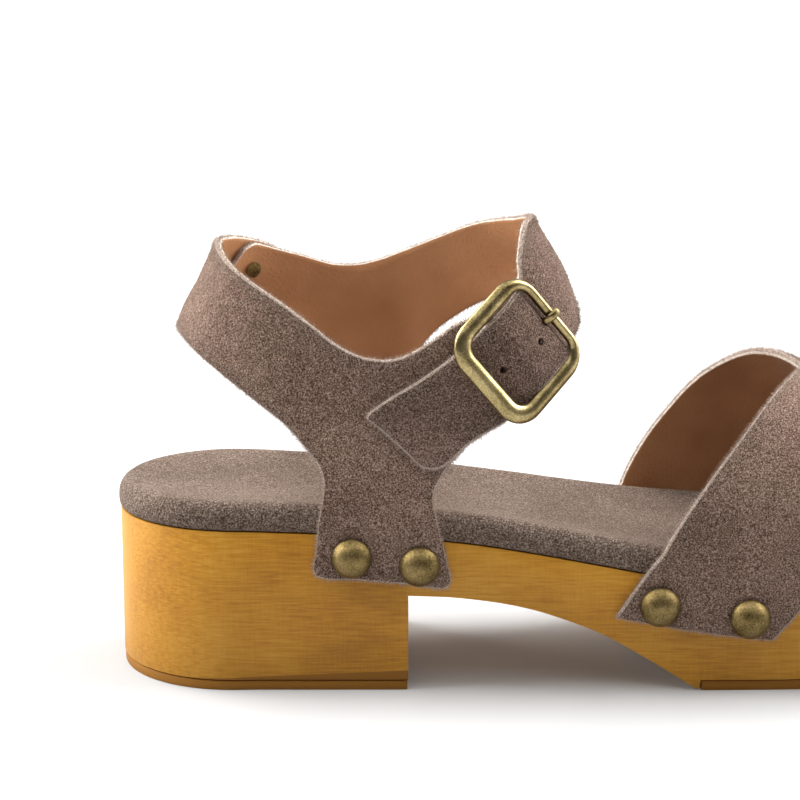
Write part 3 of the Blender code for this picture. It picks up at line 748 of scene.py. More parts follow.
def new_object(name: str, mesh: Mesh, *materials: Material) -> Item:
    """Put a mesh into the scene with its materials.

    Args:
        name: Name of the object.
        mesh: Mesh that it shows.
        *materials: Materials in the order of the mesh's slots.

    Returns:
        The new object.
    """
    for material in materials:
        mesh.materials.append(material)
    item = bpy.data.objects.new(name, mesh)
    bpy.context.scene.collection.objects.link(item)
    return item


def mesh_of(name: str, points: Points, faces: Sequence[Sequence[int]]) -> Mesh:
    """Mesh with its doubles merged and its normals turned outwards.

    Args:
        name: Name of the mesh.
        points: Points in the shoe's measure.
        faces: Point numbers of every face.

    Returns:
        The new mesh.
    """
    mesh = bpy.data.meshes.new(name)
    mesh.from_pydata(to_frame(points).tolist(), [], [list(face) for face in faces])
    bm = bmesh.new()
    bm.from_mesh(mesh)
    bmesh.ops.remove_doubles(bm, verts=bm.verts, dist=MERGE)
    bmesh.ops.recalc_face_normals(bm, faces=bm.faces)
    bm.to_mesh(mesh)
    bm.free()
    return mesh


def prism(name: str, outline: Points, pull: Pull, low: float, high: float) -> Mesh:
    """Pull a closed outline into a block.

    Args:
        name: Name of the mesh.
        outline: Points of the outline.
        pull: Axis of the pull.
        low: Where the block starts on that axis.
        high: Where it ends.

    Returns:
        Closed mesh of the block.
    """
    count = len(outline)
    ends = [np.insert(outline, int(pull), depth, axis=1) for depth in (low, high)]
    faces = [range(count), range(count, 2 * count)]
    faces += [(i, (i + 1) % count, count + (i + 1) % count, count + i) for i in range(count)]
    return mesh_of(name, np.concatenate(ends), faces)


def skin(name: str, rings: Points, closed: bool = False) -> Mesh:
    """Skin over rings of equally many points.

    Args:
        name: Name of the mesh.
        rings: Points of every ring.
        closed: Whether the last ring is joined to the first.

    Returns:
        Mesh of the skin.
    """
    ring_count, count = rings.shape[:2]
    faces = []
    for ring in range(ring_count if closed else ring_count - 1):
        low, high = ring * count, (ring + 1) % ring_count * count
        faces += [(low + i, low + (i + 1) % count, high + (i + 1) % count, high + i) for i in range(count)]
    return mesh_of(name, rings.reshape(-1, 3), faces)


def settle(item: Item) -> None:
    """Swap the object's mesh and modifiers for the plain mesh that they make.

    Args:
        item: Object with its modifiers.
    """
    graph = bpy.context.evaluated_depsgraph_get()
    mesh = bpy.data.meshes.new_from_object(item.evaluated_get(graph), depsgraph=graph)
    item.modifiers.clear()
    item.data = mesh


def shade(item: Item, sharp_above: float) -> None:
    """Smooth shading, with edges sharper than the angle in degrees kept crisp."""
    item.data.shade_smooth()
    item.data.set_sharp_from_angle(angle=math.radians(sharp_above))


def cut(item: Item, cutter: Item, operation: Cut) -> None:
    """Boolean step that uses up its cutter.

    Args:
        item: Object that is cut.
        cutter: Object that cuts it.
        operation: What the step does.
    """
    step = item.modifiers.new("cut", "BOOLEAN")
    step.operation = operation.value
    step.object = cutter
    step.solver = "EXACT"
    settle(item)
    bpy.data.objects.remove(cutter, do_unlink=True)


def hand_in(item: Item, slot: Slot, *nodes: str) -> None:
    """Tie a piece to the frame and report it.

    Args:
        item: Finished piece.
        slot: Not used.
        *nodes: Nodes that it stands for.
    """
    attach(item, "root")
    if nodes:
        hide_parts(*nodes)
    item.data.calc_loop_triangles()
    LOG.info("%s: %d triangles", item.name, len(item.data.loop_triangles))


# Node helpers


def linear(hex_colour: str) -> Colour:
    """Shader colour from an sRGB hex value."""
    parts = [int(hex_colour[i : i + 2], 16) / 255 for i in (1, 3, 5)]
    return (*(c / 12.92 if c <= 0.04045 else ((c + 0.055) / 1.055) ** 2.4 for c in parts), 1.0)


def per_metre(size_mm: float) -> float:
    """Texture scale for a pattern of this size in object space."""
    return 1.0 / (size_mm * MM)


def fill(tree: Tree, node: Node, inputs: dict[str | int, Input]) -> None:
    """Fill the inputs of a node.

    Args:
        tree: Node tree of the node.
        node: Node that takes the inputs.
        inputs: Values, or sockets to link from, by input name or number.
    """
    for key, value in inputs.items():
        if isinstance(value, Socket):
            tree.links.new(value, node.inputs[key])
        else:
            node.inputs[key].default_value = value


def add(
    tree: Tree,
    kind: str,
    inputs: dict[str | int, Input] | None = None,
    stops: Sequence[tuple[float, str]] = (),
    **settings: str,
) -> Node:
    """Add one node.

    Args:
        tree: Node tree that takes the node.
        kind: Blender's name of the node type.
        inputs: Values, or sockets to link from, by input name or number.
        stops: Places and sRGB hex values on a colour ramp.
        **settings: Properties of the node.

    Returns:
        The new node.
    """
    made = tree.nodes.new(kind)
    for name, value in settings.items():
        setattr(made, name, value)
    fill(tree, made, inputs or {})
    for _ in stops[2:]:
        made.color_ramp.elements.new(0.5)
    for number, (position, colour) in enumerate(stops):
        made.color_ramp.elements[number].position = position
        made.color_ramp.elements[number].color = linear(colour)
    return made


def new_material(name: str) -> tuple[Material, Tree, Node]:
    """Empty node material.

    Args:
        name: Name of the material.

    Returns:
        The material, its node tree and its shader.
    """
    material = bpy.data.materials.new(name)
    material.use_nodes = True
    tree = material.node_tree
    return material, tree, tree.nodes["Principled BSDF"]


SOCKET_KINDS = {float: "NodeSocketFloat", int: "NodeSocketInt", Item: "NodeSocketObject"}


def new_scatter(name: str, sizes: Sizes) -> tuple[Tree, Sizes]:
    """Start a Geometry Nodes tree that takes a mesh and named sizes.

    Args:
        name: Name of the tree.
        sizes: Values of the named inputs.

    Returns:
        The tree, and the values by socket identifier.
    """
    tree = bpy.data.node_groups.new(name, "GeometryNodeTree")
    face = tree.interface
    face.new_socket("Geometry", in_out="INPUT", socket_type="NodeSocketGeometry")
    values = {}
    for label, value in sizes.items():
        made = face.new_socket(label, in_out="INPUT", socket_type=SOCKET_KINDS[type(value)])
        values[made.identifier] = value
    face.new_socket("Geometry", in_out="OUTPUT", socket_type="NodeSocketGeometry")
    return tree, values


def scatter(item: Item, tree: Tree, values: Sizes, instances: dict[str, Socket], material: Material) -> None:
    """End a tree with real, dressed instances, and turn the object into them.

    Args:
        item: Object whose mesh the tree takes.
        tree: Tree that makes points and instances.
        values: Values of the tree's inputs by socket identifier.
        instances: Points, instance, turn and scale.
        material: Material of the instances.
    """
    stood = add(tree, "GeometryNodeInstanceOnPoints", instances)
    real = add(tree, "GeometryNodeRealizeInstances", {"Geometry": stood.outputs[0]})
    dressed = add(tree, "GeometryNodeSetMaterial", {"Geometry": real.outputs[0], "Material": material})
    add(tree, "NodeGroupOutput", {"Geometry": dressed.outputs[0]})
    step = item.modifiers.new("scatter", "NODES")
    step.node_group = tree
    for identifier, value in values.items():
        step[identifier] = value
    settle(item)


# Finishes


class Looks(NamedTuple):
    """Looks of a finish: its colour, its relief with strength and depth, and its shader's values."""

    colour: Union[Socket, Colour]
    relief: Socket
    strength: float
    depth_mm: float
    values: dict[str, Union[float, Colour]]


@dataclass(frozen=True)
class Finish:
    """Finish of a surface; every kind lays out its own looks."""

    name: str

    def looks(self, tree: Tree, place: Socket) -> Looks:
        """Lay out the pattern on the coordinates of the piece."""
        raise NotImplementedError

    def material(self) -> Material:
        """Build the material.

        Returns:
            Material with the colour and the relief of its looks.
        """
        material, tree, shader = new_material(self.name)
        looks = self.looks(tree, add(tree, "ShaderNodeTexCoord").outputs["Object"])
        relief = {"Height": looks.relief, "Strength": looks.strength, "Distance": looks.depth_mm * MM}
        normal = add(tree, "ShaderNodeBump", relief).outputs["Normal"]
        fill(tree, shader, {"Base Color": looks.colour, "Normal": normal, **looks.values})
        return material


@dataclass(frozen=True)
class SuedeFinish(Finish):
    """Suede: a short nap in light and dark flecks, with broad brushed patches."""

    dark: str
    middle: str
    light: str
    fleck_mm: float = 0.42
    brush_mm: float = 3.0
    patch_mm: float = 28.0
    bump: float = 0.9
    bump_mm: float = 0.45
    patch_share: float = 0.5
    cloud_share: float = 0.15
    stops: tuple[float, float, float] = (0.37, 0.50, 0.63)

    def looks(self, tree: Tree, place: Socket) -> Looks:
        """Lay out flecks, brush strokes and patches.

        Args:
            tree: Node tree of the material.
            place: Coordinates on the piece.

        Returns:
            Looks of the suede.
        """
        # fleck: tufts that stand to or from the light, drawn coarser than the real nap so that they show
        size = per_metre(self.fleck_mm)
        pattern = {"Vector": place, "Scale": size, "Detail": 3.0, "Roughness": 0.75}
        fleck = add(tree, "ShaderNodeTexNoise", pattern).outputs["Fac"]
        # brush: short strokes left where a hand has stroked the nap
        size = per_metre(self.brush_mm)
        pattern = {"Vector": place, "Scale": size, "Detail": 2.0, "Distortion": 0.6}
        brush = add(tree, "ShaderNodeTexNoise", pattern).outputs["Fac"]
        # patch: the soft cloudiness of a whole panel
        pattern = {"Vector": place, "Scale": per_metre(self.patch_mm), "Detail": 1.0}
        patch = add(tree, "ShaderNodeTexNoise", pattern).outputs["Fac"]
        clouds = add(tree, "ShaderNodeMix", {"Factor": self.patch_share, 2: brush, 3: patch}).outputs[0]
        mixed = add(tree, "ShaderNodeMix", {"Factor": self.cloud_share, 2: fleck, 3: clouds}).outputs[0]
        stops = tuple(zip(self.stops, (self.dark, self.middle, self.light)))
        colour = add(tree, "ShaderNodeValToRGB", {"Fac": mixed}, stops).outputs["Color"]
        values = {
            "Roughness": 0.95,
            "Specular IOR Level": 0.12,
            "Sheen Weight": 0.30,
            "Sheen Roughness": 0.45,
            "Sheen Tint": linear(self.light),
        }
        return Looks(colour, fleck, self.bump, self.bump_mm, values)


@dataclass(frozen=True)
class CutEdgeFinish(Finish):
    """Raw cut edge of the leather: pressed fibres in thin layers."""

    dark: str
    light: str
    fibre_mm: float = 0.5
    bump: float = 0.6
    bump_mm: float = 0.2
    stops: tuple[float, float] = (0.35, 0.65)

    def looks(self, tree: Tree, place: Socket) -> Looks:
        """Lay out the fibres.

        Args:
            tree: Node tree of the material.
            place: Coordinates on the piece.

        Returns:
            Looks of the cut edge.
        """
        # fibre: frayed ends along the cut, drawn coarser than the real ones so that they show
        pattern = {"Vector": place, "Scale": per_metre(self.fibre_mm), "Detail": 2.0}
        fibre = add(tree, "ShaderNodeTexNoise", pattern).outputs["Fac"]
        stops = tuple(zip(self.stops, (self.dark, self.light)))
        colour = add(tree, "ShaderNodeValToRGB", {"Fac": fibre}, stops).outputs["Color"]
        values = {"Roughness": 0.9, "Specular IOR Level": 0.2}
        return Looks(colour, fibre, self.bump, self.bump_mm, values)


@dataclass(frozen=True)
class LiningFinish(Finish):
    """Smooth tan lining: close pores, cloudy dye and a soft gloss."""

    dark: str
    light: str
    pore_mm: float = 1.5
    cloud_mm: float = 18.0
    bump: float = 0.35
    bump_mm: float = 0.4
    stops: tuple[float, float] = (0.3, 0.7)

    def looks(self, tree: Tree, place: Socket) -> Looks:
        """Lay out dye clouds and pores.

        Args:
            tree: Node tree of the material.
            place: Coordinates on the piece.

        Returns:
            Looks of the lining.
        """
        # cloud: where the hide took more or less dye
        pattern = {"Vector": place, "Scale": per_metre(self.cloud_mm), "Detail": 4.0}
        cloud = add(tree, "ShaderNodeTexNoise", pattern).outputs["Fac"]
        stops = tuple(zip(self.stops, (self.dark, self.light)))
        colour = add(tree, "ShaderNodeValToRGB", {"Fac": cloud}, stops).outputs["Color"]
        # pore: the grain side's cells with creases between them, drawn coarser than real so that they show
        pattern = {"Vector": place, "Scale": per_metre(self.pore_mm)}
        pore = add(tree, "ShaderNodeTexVoronoi", pattern, feature="DISTANCE_TO_EDGE").outputs["Distance"]
        values = {"Roughness": 0.5, "Specular IOR Level": 0.35}
        return Looks(colour, pore, self.bump, self.bump_mm, values)


@dataclass(frozen=True)
class WoodFinish(Finish):
    """Honey-coloured wood under a thin lacquer: fine streaks along, faint rays across."""

    dark: str
    middle: str
    light: str
    streak_mm: tuple[float, float, float] = (9.0, 1.2, 0.55)
    ray_mm: tuple[float, float, float] = (0.7, 4.0, 6.0)
    cloud_mm: float = 22.0
    bump: float = 0.15
    bump_mm: float = 0.1
    ray_share: float = 0.18
    cloud_share: float = 0.35
    stops: tuple[float, float, float] = (0.34, 0.5, 0.66)
    facet: str = "#8a5a17"
    facet_start: float = 18.0
    facet_height: float = 2.7
    facet_margin: float = 1.0

    def looks(self, tree: Tree, place: Socket) -> Looks:
        """Lay out the grain, and browner wood on the foot of the heel.

        Args:
            tree: Node tree of the material.
            place: Coordinates on the piece.

        Returns:
            Looks of the wood.
        """
        along, across = (
            add(tree, "ShaderNodeMapping", {"Vector": place, "Scale": tuple(map(per_metre, sizes))})
            for sizes in (self.streak_mm, self.ray_mm)
        )
        # streak: the vessels, cut lengthwise
        pattern = {"Vector": along.outputs["Vector"], "Scale": 1.0, "Detail": 4.0, "Roughness": 0.6}
        streak = add(tree, "ShaderNodeTexNoise", pattern).outputs["Fac"]
        # ray: short cross flecks
        pattern = {"Vector": across.outputs["Vector"], "Scale": 1.0, "Detail": 2.0}
        ray = add(tree, "ShaderNodeTexNoise", pattern).outputs["Fac"]
        # cloud: uneven stain
        pattern = {"Vector": place, "Scale": per_metre(self.cloud_mm), "Detail": 2.0}
        cloud = add(tree, "ShaderNodeTexNoise", pattern).outputs["Fac"]
        grain = add(tree, "ShaderNodeMix", {"Factor": self.ray_share, 2: streak, 3: ray}).outputs[0]
        mixed = add(tree, "ShaderNodeMix", {"Factor": self.cloud_share, 2: grain, 3: cloud}).outputs[0]
        stops = tuple(zip(self.stops, (self.dark, self.middle, self.light)))
        colour = add(tree, "ShaderNodeValToRGB", {"Fac": mixed}, stops).outputs["Color"]
        browned = {0: self._facet(tree, place), 6: colour, 7: linear(self.facet)}
        colour = add(tree, "ShaderNodeMix", browned, data_type="RGBA").outputs[2]
        values = {"Roughness": 0.5, "Specular IOR Level": 0.2, "Coat Weight": 0.1, "Coat Roughness": 0.3}
        return Looks(colour, streak, self.bump, self.bump_mm, values)

    def _facet(self, tree: Tree, place: Socket) -> Socket:
        """Mark the sanded foot of the heel, which widens towards the breast.

        Args:
            tree: Node tree of the material.
            place: Coordinates on the piece.

        Returns:
            1 on the foot of the heel and 0 elsewhere.
        """
        split = add(tree, "ShaderNodeSeparateXYZ", {0: place}).outputs
        start, end = ((station - ORIGIN[0]) * MM for station in (self.facet_start, SOLE.heel_length))
        foot = (SOLE.rubber + GAP) * MM
        rise = {
            "Value": split["X"],
            "From Min": start,
            "From Max": end,
            "To Min": foot,
            "To Max": foot + self.facet_height * MM,
        }
        border = add(tree, "ShaderNodeMapRange", rise).outputs[0]
        breast = end + self.facet_margin * MM
        below = add(tree, "ShaderNodeMath", {0: split["Z"], 1: border}, operation="LESS_THAN").outputs[0]
        heel = add(tree, "ShaderNodeMath", {0: split["X"], 1: breast}, operation="LESS_THAN").outputs[0]
        return add(tree, "ShaderNodeMath", {0: below, 1: heel}, operation="MULTIPLY").outputs[0]


@dataclass(frozen=True)
class RubberFinish(Finish):
    """Brown moulded rubber with a dull skin."""

    colour: str
    skin_mm: float = 1.2
    bump: float = 0.2
    bump_mm: float = 0.1

    def looks(self, tree: Tree, place: Socket) -> Looks:
        """Lay out the skin.

        Args:
            tree: Node tree of the material.
            place: Coordinates on the piece.

        Returns:
            Looks of the rubber.
        """
        # skin: the mould's matt grain, drawn coarser than real so that it shows
        pattern = {"Vector": place, "Scale": per_metre(self.skin_mm), "Detail": 2.0}
        grain = add(tree, "ShaderNodeTexNoise", pattern).outputs["Fac"]
        values = {"Roughness": 0.6, "Specular IOR Level": 0.2}
        return Looks(linear(self.colour), grain, self.bump, self.bump_mm, values)


@dataclass(frozen=True)
class BrassFinish(Finish):
    """Antique brass: olive patina in specks, rubbed pale where it is touched."""

    patina: str
    middle: str
    rubbed: str
    roughness: float
    speck_mm: float = 0.5
    stain_mm: float = 5.0
    bump: float = 0.12
    bump_mm: float = 0.1
    stain_share: float = 0.45
    stops: tuple[float, float, float] = (0.30, 0.46, 0.66)

    def looks(self, tree: Tree, place: Socket) -> Looks:
        """Lay out specks and stains.

        Args:
            tree: Node tree of the material.
            place: Coordinates on the piece.

        Returns:
            Looks of the brass.
        """
        # speck: pits that hold the dark of the antiquing bath, drawn coarser than real so that they show
        pattern = {"Vector": place, "Scale": per_metre(self.speck_mm), "Detail": 3.0}
        speck = add(tree, "ShaderNodeTexNoise", pattern).outputs["Fac"]
        # stain: broader uneven toning
        pattern = {"Vector": place, "Scale": per_metre(self.stain_mm), "Detail": 2.0}
        stain = add(tree, "ShaderNodeTexNoise", pattern).outputs["Fac"]
        mixed = add(tree, "ShaderNodeMix", {"Factor": self.stain_share, 2: speck, 3: stain}).outputs[0]
        stops = tuple(zip(self.stops, (self.patina, self.middle, self.rubbed)))
        colour = add(tree, "ShaderNodeValToRGB", {"Fac": mixed}, stops).outputs["Color"]
        values = {"Metallic": 1.0, "Roughness": self.roughness}
        return Looks(colour, speck, self.bump, self.bump_mm, values)


def built(finish: Finish) -> Material:
    """Field that holds the material of a finish."""
    return field(default_factory=finish.material)


@dataclass
class Finishes:
    """All finishes of the shoe, each built once."""

    suede: Material = built(SuedeFinish("taupe_suede", "#281c16", "#6a5446", "#b0978a"))
    # Darker copy of the suede for the inner quarter and its strap: painted shade.
    shaded_inner_suede: Material = built(SuedeFinish("taupe_suede_strap", "#231812", "#5e4a3e", "#9c857a"))
    footbed: Material = built(
        SuedeFinish("taupe_suede_footbed", "#2e221b", "#594a40", "#908176", fleck_mm=0.5, bump_mm=0.2)
    )
    cut_edge: Material = built(CutEdgeFinish("cut_suede_edge", "#7a695e", "#b8a89b"))
    lining_edge: Material = built(CutEdgeFinish("cream_lining_edge", "#bfae9e", "#e6dacd"))
    lining: Material = built(LiningFinish("tan_lining", "#9a6a45", "#b07f57"))
    wood: Material = built(WoodFinish("honey_lacquered_wood", "#97621a", "#b07a20", "#bf8c34"))
    rubber: Material = built(RubberFinish("brown_rubber", "#8a5c1c"))
    brass: Material = built(BrassFinish("antique_brass", "#3a2f18", "#6c5c38", "#937f56", roughness=0.46))
    buckle: Material = built(BrassFinish("rubbed_brass", "#574a2c", "#8d7d54", "#bcaa7c", roughness=0.30))


# Leather


@dataclass
class LeatherSheet:
    """One cut piece of lined suede, laid on a form.

    The rows give the pattern: two coordinates on the lower edge, two on the upper edge, lift and tilt.
    The dents are nails that press into the suede, in the measure of the place function.
    """

    name: str
    node: str
    rows: Sequence[Sequence[float]]
    place: Place
    dents: Sequence[NailPlace]
    flip: bool = True
    steps: int = 6
    cells: int = 28
    # Whether the piece takes the darker copy of the suede, which is painted shade.
    painted_shade: bool = False
    strap_holes: Sequence[tuple[float, float]] = ()
    dent_depth: float = 0.35
    dent_radius: float = 7.0
    fuzz_reach: float = 1.6
    fuzz_inside: float = 0.05
    fuzz_edge: float = 0.8

    def _pattern(self, inset: float) -> tuple[Points, Points, Points]:
        """Lay out the whole grid, drawn in from the cutting line.

        Args:
            inset: Distance from the cutting line.

        Returns:
            Both pattern coordinates and the lift of every grid point.
        """
        rows = np.array(self.rows, float)
        last = len(rows) - 1
        end_rows = rows[[0, 1, -2, -1]]
        ends = self.place(end_rows[:, [0, 2]], end_rows[:, [1, 3]], np.zeros((4, 2))).mean(axis=1)
        start_step = np.linalg.norm(ends[1] - ends[0])
        end_step = np.linalg.norm(ends[3] - ends[2])
        at = np.linspace(inset / start_step, last - inset / end_step, last * self.steps + 1)
        line = spline(rows, at)
        i, t = row_before(rows, at)
        eased = rows[i] + (rows[i + 1] - rows[i]) * smooth_step(t)
        lift, tilt = eased[:, 4:5], eased[:, 5:6]
        low = self.place(line[:, 0], line[:, 1], (lift + tilt)[:, 0])
        high = self.place(line[:, 2], line[:, 3], lift[:, 0])
        margin = inset / np.linalg.norm(high - low, axis=1)[:, None]
        share = margin + (1 - 2 * margin) * np.linspace(0.0, 1.0, self.cells + 1)
        u = line[:, :1] + (line[:, 2:3] - line[:, :1]) * share
        v = line[:, 1:2] + (line[:, 3:4] - line[:, 1:2]) * share
        return u, v, lift + tilt * (1 - share)

    def _grid(self, step: EdgeStep) -> Points:
        """Place the grid of one turn of the edge.

        Args:
            step: Inset and depth of the grid.

        Returns:
            Points of the grid, with the dents pressed in.
        """
        u, v, lift = self._pattern(step.inset)
        lift = lift + step.depth * WALL
        flat = self.place(u, v, lift)
        for dent in self.dents:
            centre = self.place(np.array([dent.u]), np.array([dent.v]), np.array([step.depth * WALL]))
            away = np.linalg.norm(flat - centre, axis=-1)
            lift = lift - self.dent_depth * step.depth * np.exp(-((away / self.dent_radius) ** 4))
        return self.place(u, v, lift)

    def build(self, finishes: Finishes) -> Item:
        """Build the closed piece with suede, cut edge and lining faces.

        Args:
            finishes: Materials of the shoe.

        Returns:
            The leather piece.
        """
        grids = [self._grid(step) for step in EDGE_STEPS]
        outer, *rings, inner = (grid.reshape(-1, 3) for grid in grids)
        index = np.arange(len(outer)).reshape(grids[0].shape[:2])
        loop = np.concatenate((index[0], index[1:, -1], index[-1, -2::-1], index[-2:0:-1, 0]))
        points = np.concatenate((outer, *(ring[loop] for ring in rings), inner))
        inner_start = len(points) - len(inner)
        edge_points = np.arange(len(outer), inner_start).reshape(len(rings), len(loop))
        turns = [loop, *edge_points, inner_start + loop]

        corners = (index[:-1, :-1], index[1:, :-1], index[1:, 1:], index[:-1, 1:])
        quads = np.stack(corners, axis=-1).reshape(-1, 4)
        faces = [quads, quads[:, ::-1] + inner_start]
        looks = [np.full(len(quads), LeatherFace.SUEDE), np.full(len(quads), LeatherFace.LINING)]
        for step, here, after in zip(EDGE_STEPS, turns, turns[1:]):
            faces.append(np.stack((here, np.roll(here, -1), np.roll(after, -1), after), axis=-1))
            looks.append(np.full(len(loop), step.face))
        faces = np.concatenate(faces)
        if self.flip:
            faces = faces[:, ::-1]

        mesh = bpy.data.meshes.new(self.name)
        mesh.from_pydata(to_frame(points).tolist(), [], faces.tolist())
        mesh.polygons.foreach_set("material_index", np.concatenate(looks).astype(np.int32))
        fuzz = mesh.attributes.new("fuzz", "FLOAT", "POINT")
        fuzz.data.foreach_set("value", self._fuzz(grids[0], edge_points.size))
        # The darker copy of the suede paints shade on the piece.
        suede = finishes.shaded_inner_suede if self.painted_shade else finishes.suede
        item = new_object(self.name, mesh, suede, finishes.cut_edge, finishes.lining_edge, finishes.lining)
        shade(item, ALL_SMOOTH)
        return item

    def _fuzz(self, outer: Points, edge_count: int) -> Points:
        """How thickly loose fibres stand: most at the cut edge, none on the lining.

        Args:
            outer: Grid of the suede side.
            edge_count: Number of points on the cut edge.

        Returns:
            Share of the full density at every point of the piece.
        """
        across = np.linalg.norm(np.diff(outer, axis=1), axis=-1).cumsum(axis=1)
        across = np.concatenate((np.zeros((len(outer), 1)), across), axis=1)
        along = np.linalg.norm(np.diff(outer, axis=0), axis=-1).cumsum(axis=0)
        along = np.concatenate((np.zeros((1, outer.shape[1])), along), axis=0)
        to_side = np.minimum(across, across[:, -1:] - across)
        to_end = np.minimum(along, along[-1:] - along)
        top = np.maximum(np.exp(-np.minimum(to_side, to_end) / self.fuzz_reach), self.fuzz_inside)
        shares = (top.ravel(), np.full(edge_count, self.fuzz_edge), np.zeros(top.size))
        return np.concatenate(shares).astype(np.float32)


@dataclass
class Nap:
    """Loose suede fibres that blur the leather's outline, scattered by Geometry Nodes."""

    per_mm2: float = 8.0
    length: float = 1.2
    radius: float = 0.065
    seed: int = 7
    tilt: float = 0.75
    smallest: float = 0.45
    largest: float = 1.2

    def grow(self, leather: Item, material: Material) -> Item:
        """Grow fibres on a leather piece, as a piece of their own.

        Args:
            leather: Piece with its fuzz attribute.
            material: Finish of the fibres.

        Returns:
            The piece of fibres.
        """
        item = new_object(f"nap_{leather.name}", leather.data.copy())
        sizes = {
            "Density": self.per_mm2 / MM**2,
            "Length": self.length * MM,
            "Radius": self.radius * MM,
            "Tilt": self.tilt,
            "Seed": self.seed,
        }
        tree, values = new_scatter("suede_nap", sizes)
        given = add(tree, "NodeGroupInput").outputs
        seed = given["Seed"]
        fuzz = add(tree, "GeometryNodeInputNamedAttribute", {"Name": "fuzz"}, data_type="FLOAT")
        shares = {0: given["Density"], 1: fuzz.outputs["Attribute"]}
        density = add(tree, "ShaderNodeMath", shares, operation="MULTIPLY").outputs[0]
        ground = {"Mesh": given["Geometry"], "Density": density, "Seed": seed}
        spread = add(tree, "GeometryNodeDistributePointsOnFaces", ground).outputs
        cone = {"Vertices": 3, "Radius Top": 0.0, "Radius Bottom": given["Radius"], "Depth": given["Length"]}
        fibre = add(tree, "GeometryNodeMeshCone", cone, fill_type="NGON").outputs["Mesh"]
        back = add(tree, "ShaderNodeMath", {0: given["Tilt"], 1: -1.0}, operation="MULTIPLY").outputs[0]
        low, high = (
            add(tree, "ShaderNodeCombineXYZ", {"X": lean, "Y": lean}).outputs[0]
            for lean in (back, given["Tilt"])
        )
        leans = {0: low, 1: high, "Seed": seed}
        lean = add(tree, "FunctionNodeRandomValue", leans, data_type="FLOAT_VECTOR").outputs[0]
        turns = {"Rotation": spread["Rotation"], "Rotate By": lean}
        turned = add(tree, "FunctionNodeRotateRotation", turns, rotation_space="LOCAL").outputs[0]
        scales = {2: self.smallest, 3: self.largest, "Seed": seed}
        scale = add(tree, "FunctionNodeRandomValue", scales, data_type="FLOAT").outputs[1]
        instances = {"Points": spread["Points"], "Instance": fibre, "Rotation": turned, "Scale": scale}
        scatter(item, tree, values, instances, material)
        return item


@dataclass
class Upper:
    """The two crossed bands and the two ankle quarters."""

    ankle: AnkleForm
    vamp: VampForm
    nap: Nap = field(default_factory=Nap)
    band_steps: int = 12
    hole_radius: float = 1.0
    hole_sides: int = 16
    hole_from: float = OVER - 1.0
    hole_to: float = OVER + WALL + 4.5
    strap_holes: Sequence[tuple[float, float]] = ((97.4, 88.3), (107.5, 94.9))

    @staticmethod
    def _band_rows(table: Sequence[BandRow]) -> list[tuple[float, ...]]:
        """Band table in the sheet's order of columns."""
        return [(row.girth, row.rear, row.girth, row.front, row.lift, 0.0) for row in table]

    def _sheets(self) -> tuple[LeatherSheet, ...]:
        """Cut pieces of the upper; the inner quarter's dents mirror the outer one's.

        Returns:
            Outer quarter, inner quarter, outer band and inner band.
        """
        outer_quarter = LeatherSheet(
            "quarter_lateral_leather",
            "quarter_lateral",
            LATERAL_RIBS,
            self.ankle.wrap,
            OUTER_QUARTER_NAILS,
            flip=False,
        )
        inner_quarter = LeatherSheet(
            "quarter_medial_leather",
            "quarter_medial",
            MEDIAL_RIBS,
            self.ankle.wrap_from_inside,
            OUTER_QUARTER_NAILS,
            # The inner quarter and its strap take the darker copy of the suede: painted shade.
            painted_shade=True,
            strap_holes=self.strap_holes,
        )
        outer_band = LeatherSheet(
            "band_lateral_leather",
            "vamp_bands",
            self._band_rows(LATERAL_BAND),
            self.vamp.wrap,
            OUTER_BAND_NAILS[:2],
            steps=self.band_steps,
        )
        inner_band = LeatherSheet(
            "band_medial_leather",
            "vamp_bands",
            self._band_rows(MEDIAL_BAND),
            self.vamp.wrap,
            INNER_BAND_NAILS[:2],
            steps=self.band_steps,
        )
        return outer_quarter, inner_quarter, outer_band, inner_band

    def _punch(self, strap: Item, arc: float, height: float) -> None:
        """Punch one round hole through the strap.

        Args:
            strap: Piece that is punched.
            arc: Length round the ankle, measured along the outer side.
            height: Height above the floor.
        """
        lifts = np.array((self.hole_from, self.hole_to))
        low, high = self.ankle.wrap(np.full(2, arc), np.full(2, height), lifts)
        angle = full_turn(self.hole_sides)[:, None]
        axis = Vector(high - low).normalized()
        side = axis.orthogonal().normalized()
        other = axis.cross(side)
        ring = self.hole_radius * (np.cos(angle) * np.array(side) + np.sin(angle) * np.array(other))
        rings = np.stack((low + 0 * ring, low + ring, high + ring, high + 0 * ring))
        punch = new_object("hole_punch", skin("hole_punch", rings), *strap.data.materials)
        cut(strap, punch, Cut.TAKE_AWAY)

    def build(self, finishes: Finishes) -> Item:
        """Build the upper.

        Args:
            finishes: Materials of the shoe.

        Returns:
            The inner quarter, whose strap goes through the buckle.
        """
        made = {}
        for sheet in self._sheets():
            item = sheet.build(finishes)
            fibres = self.nap.grow(item, finishes.cut_edge)
            for arc, height in sheet.strap_holes:
                self._punch(item, arc, height)
            hand_in(item, Slot.SUEDE, sheet.node)
            hand_in(fibres, Slot.SUEDE)
            made[sheet.node] = item
        return made["quarter_medial"]


# Sole


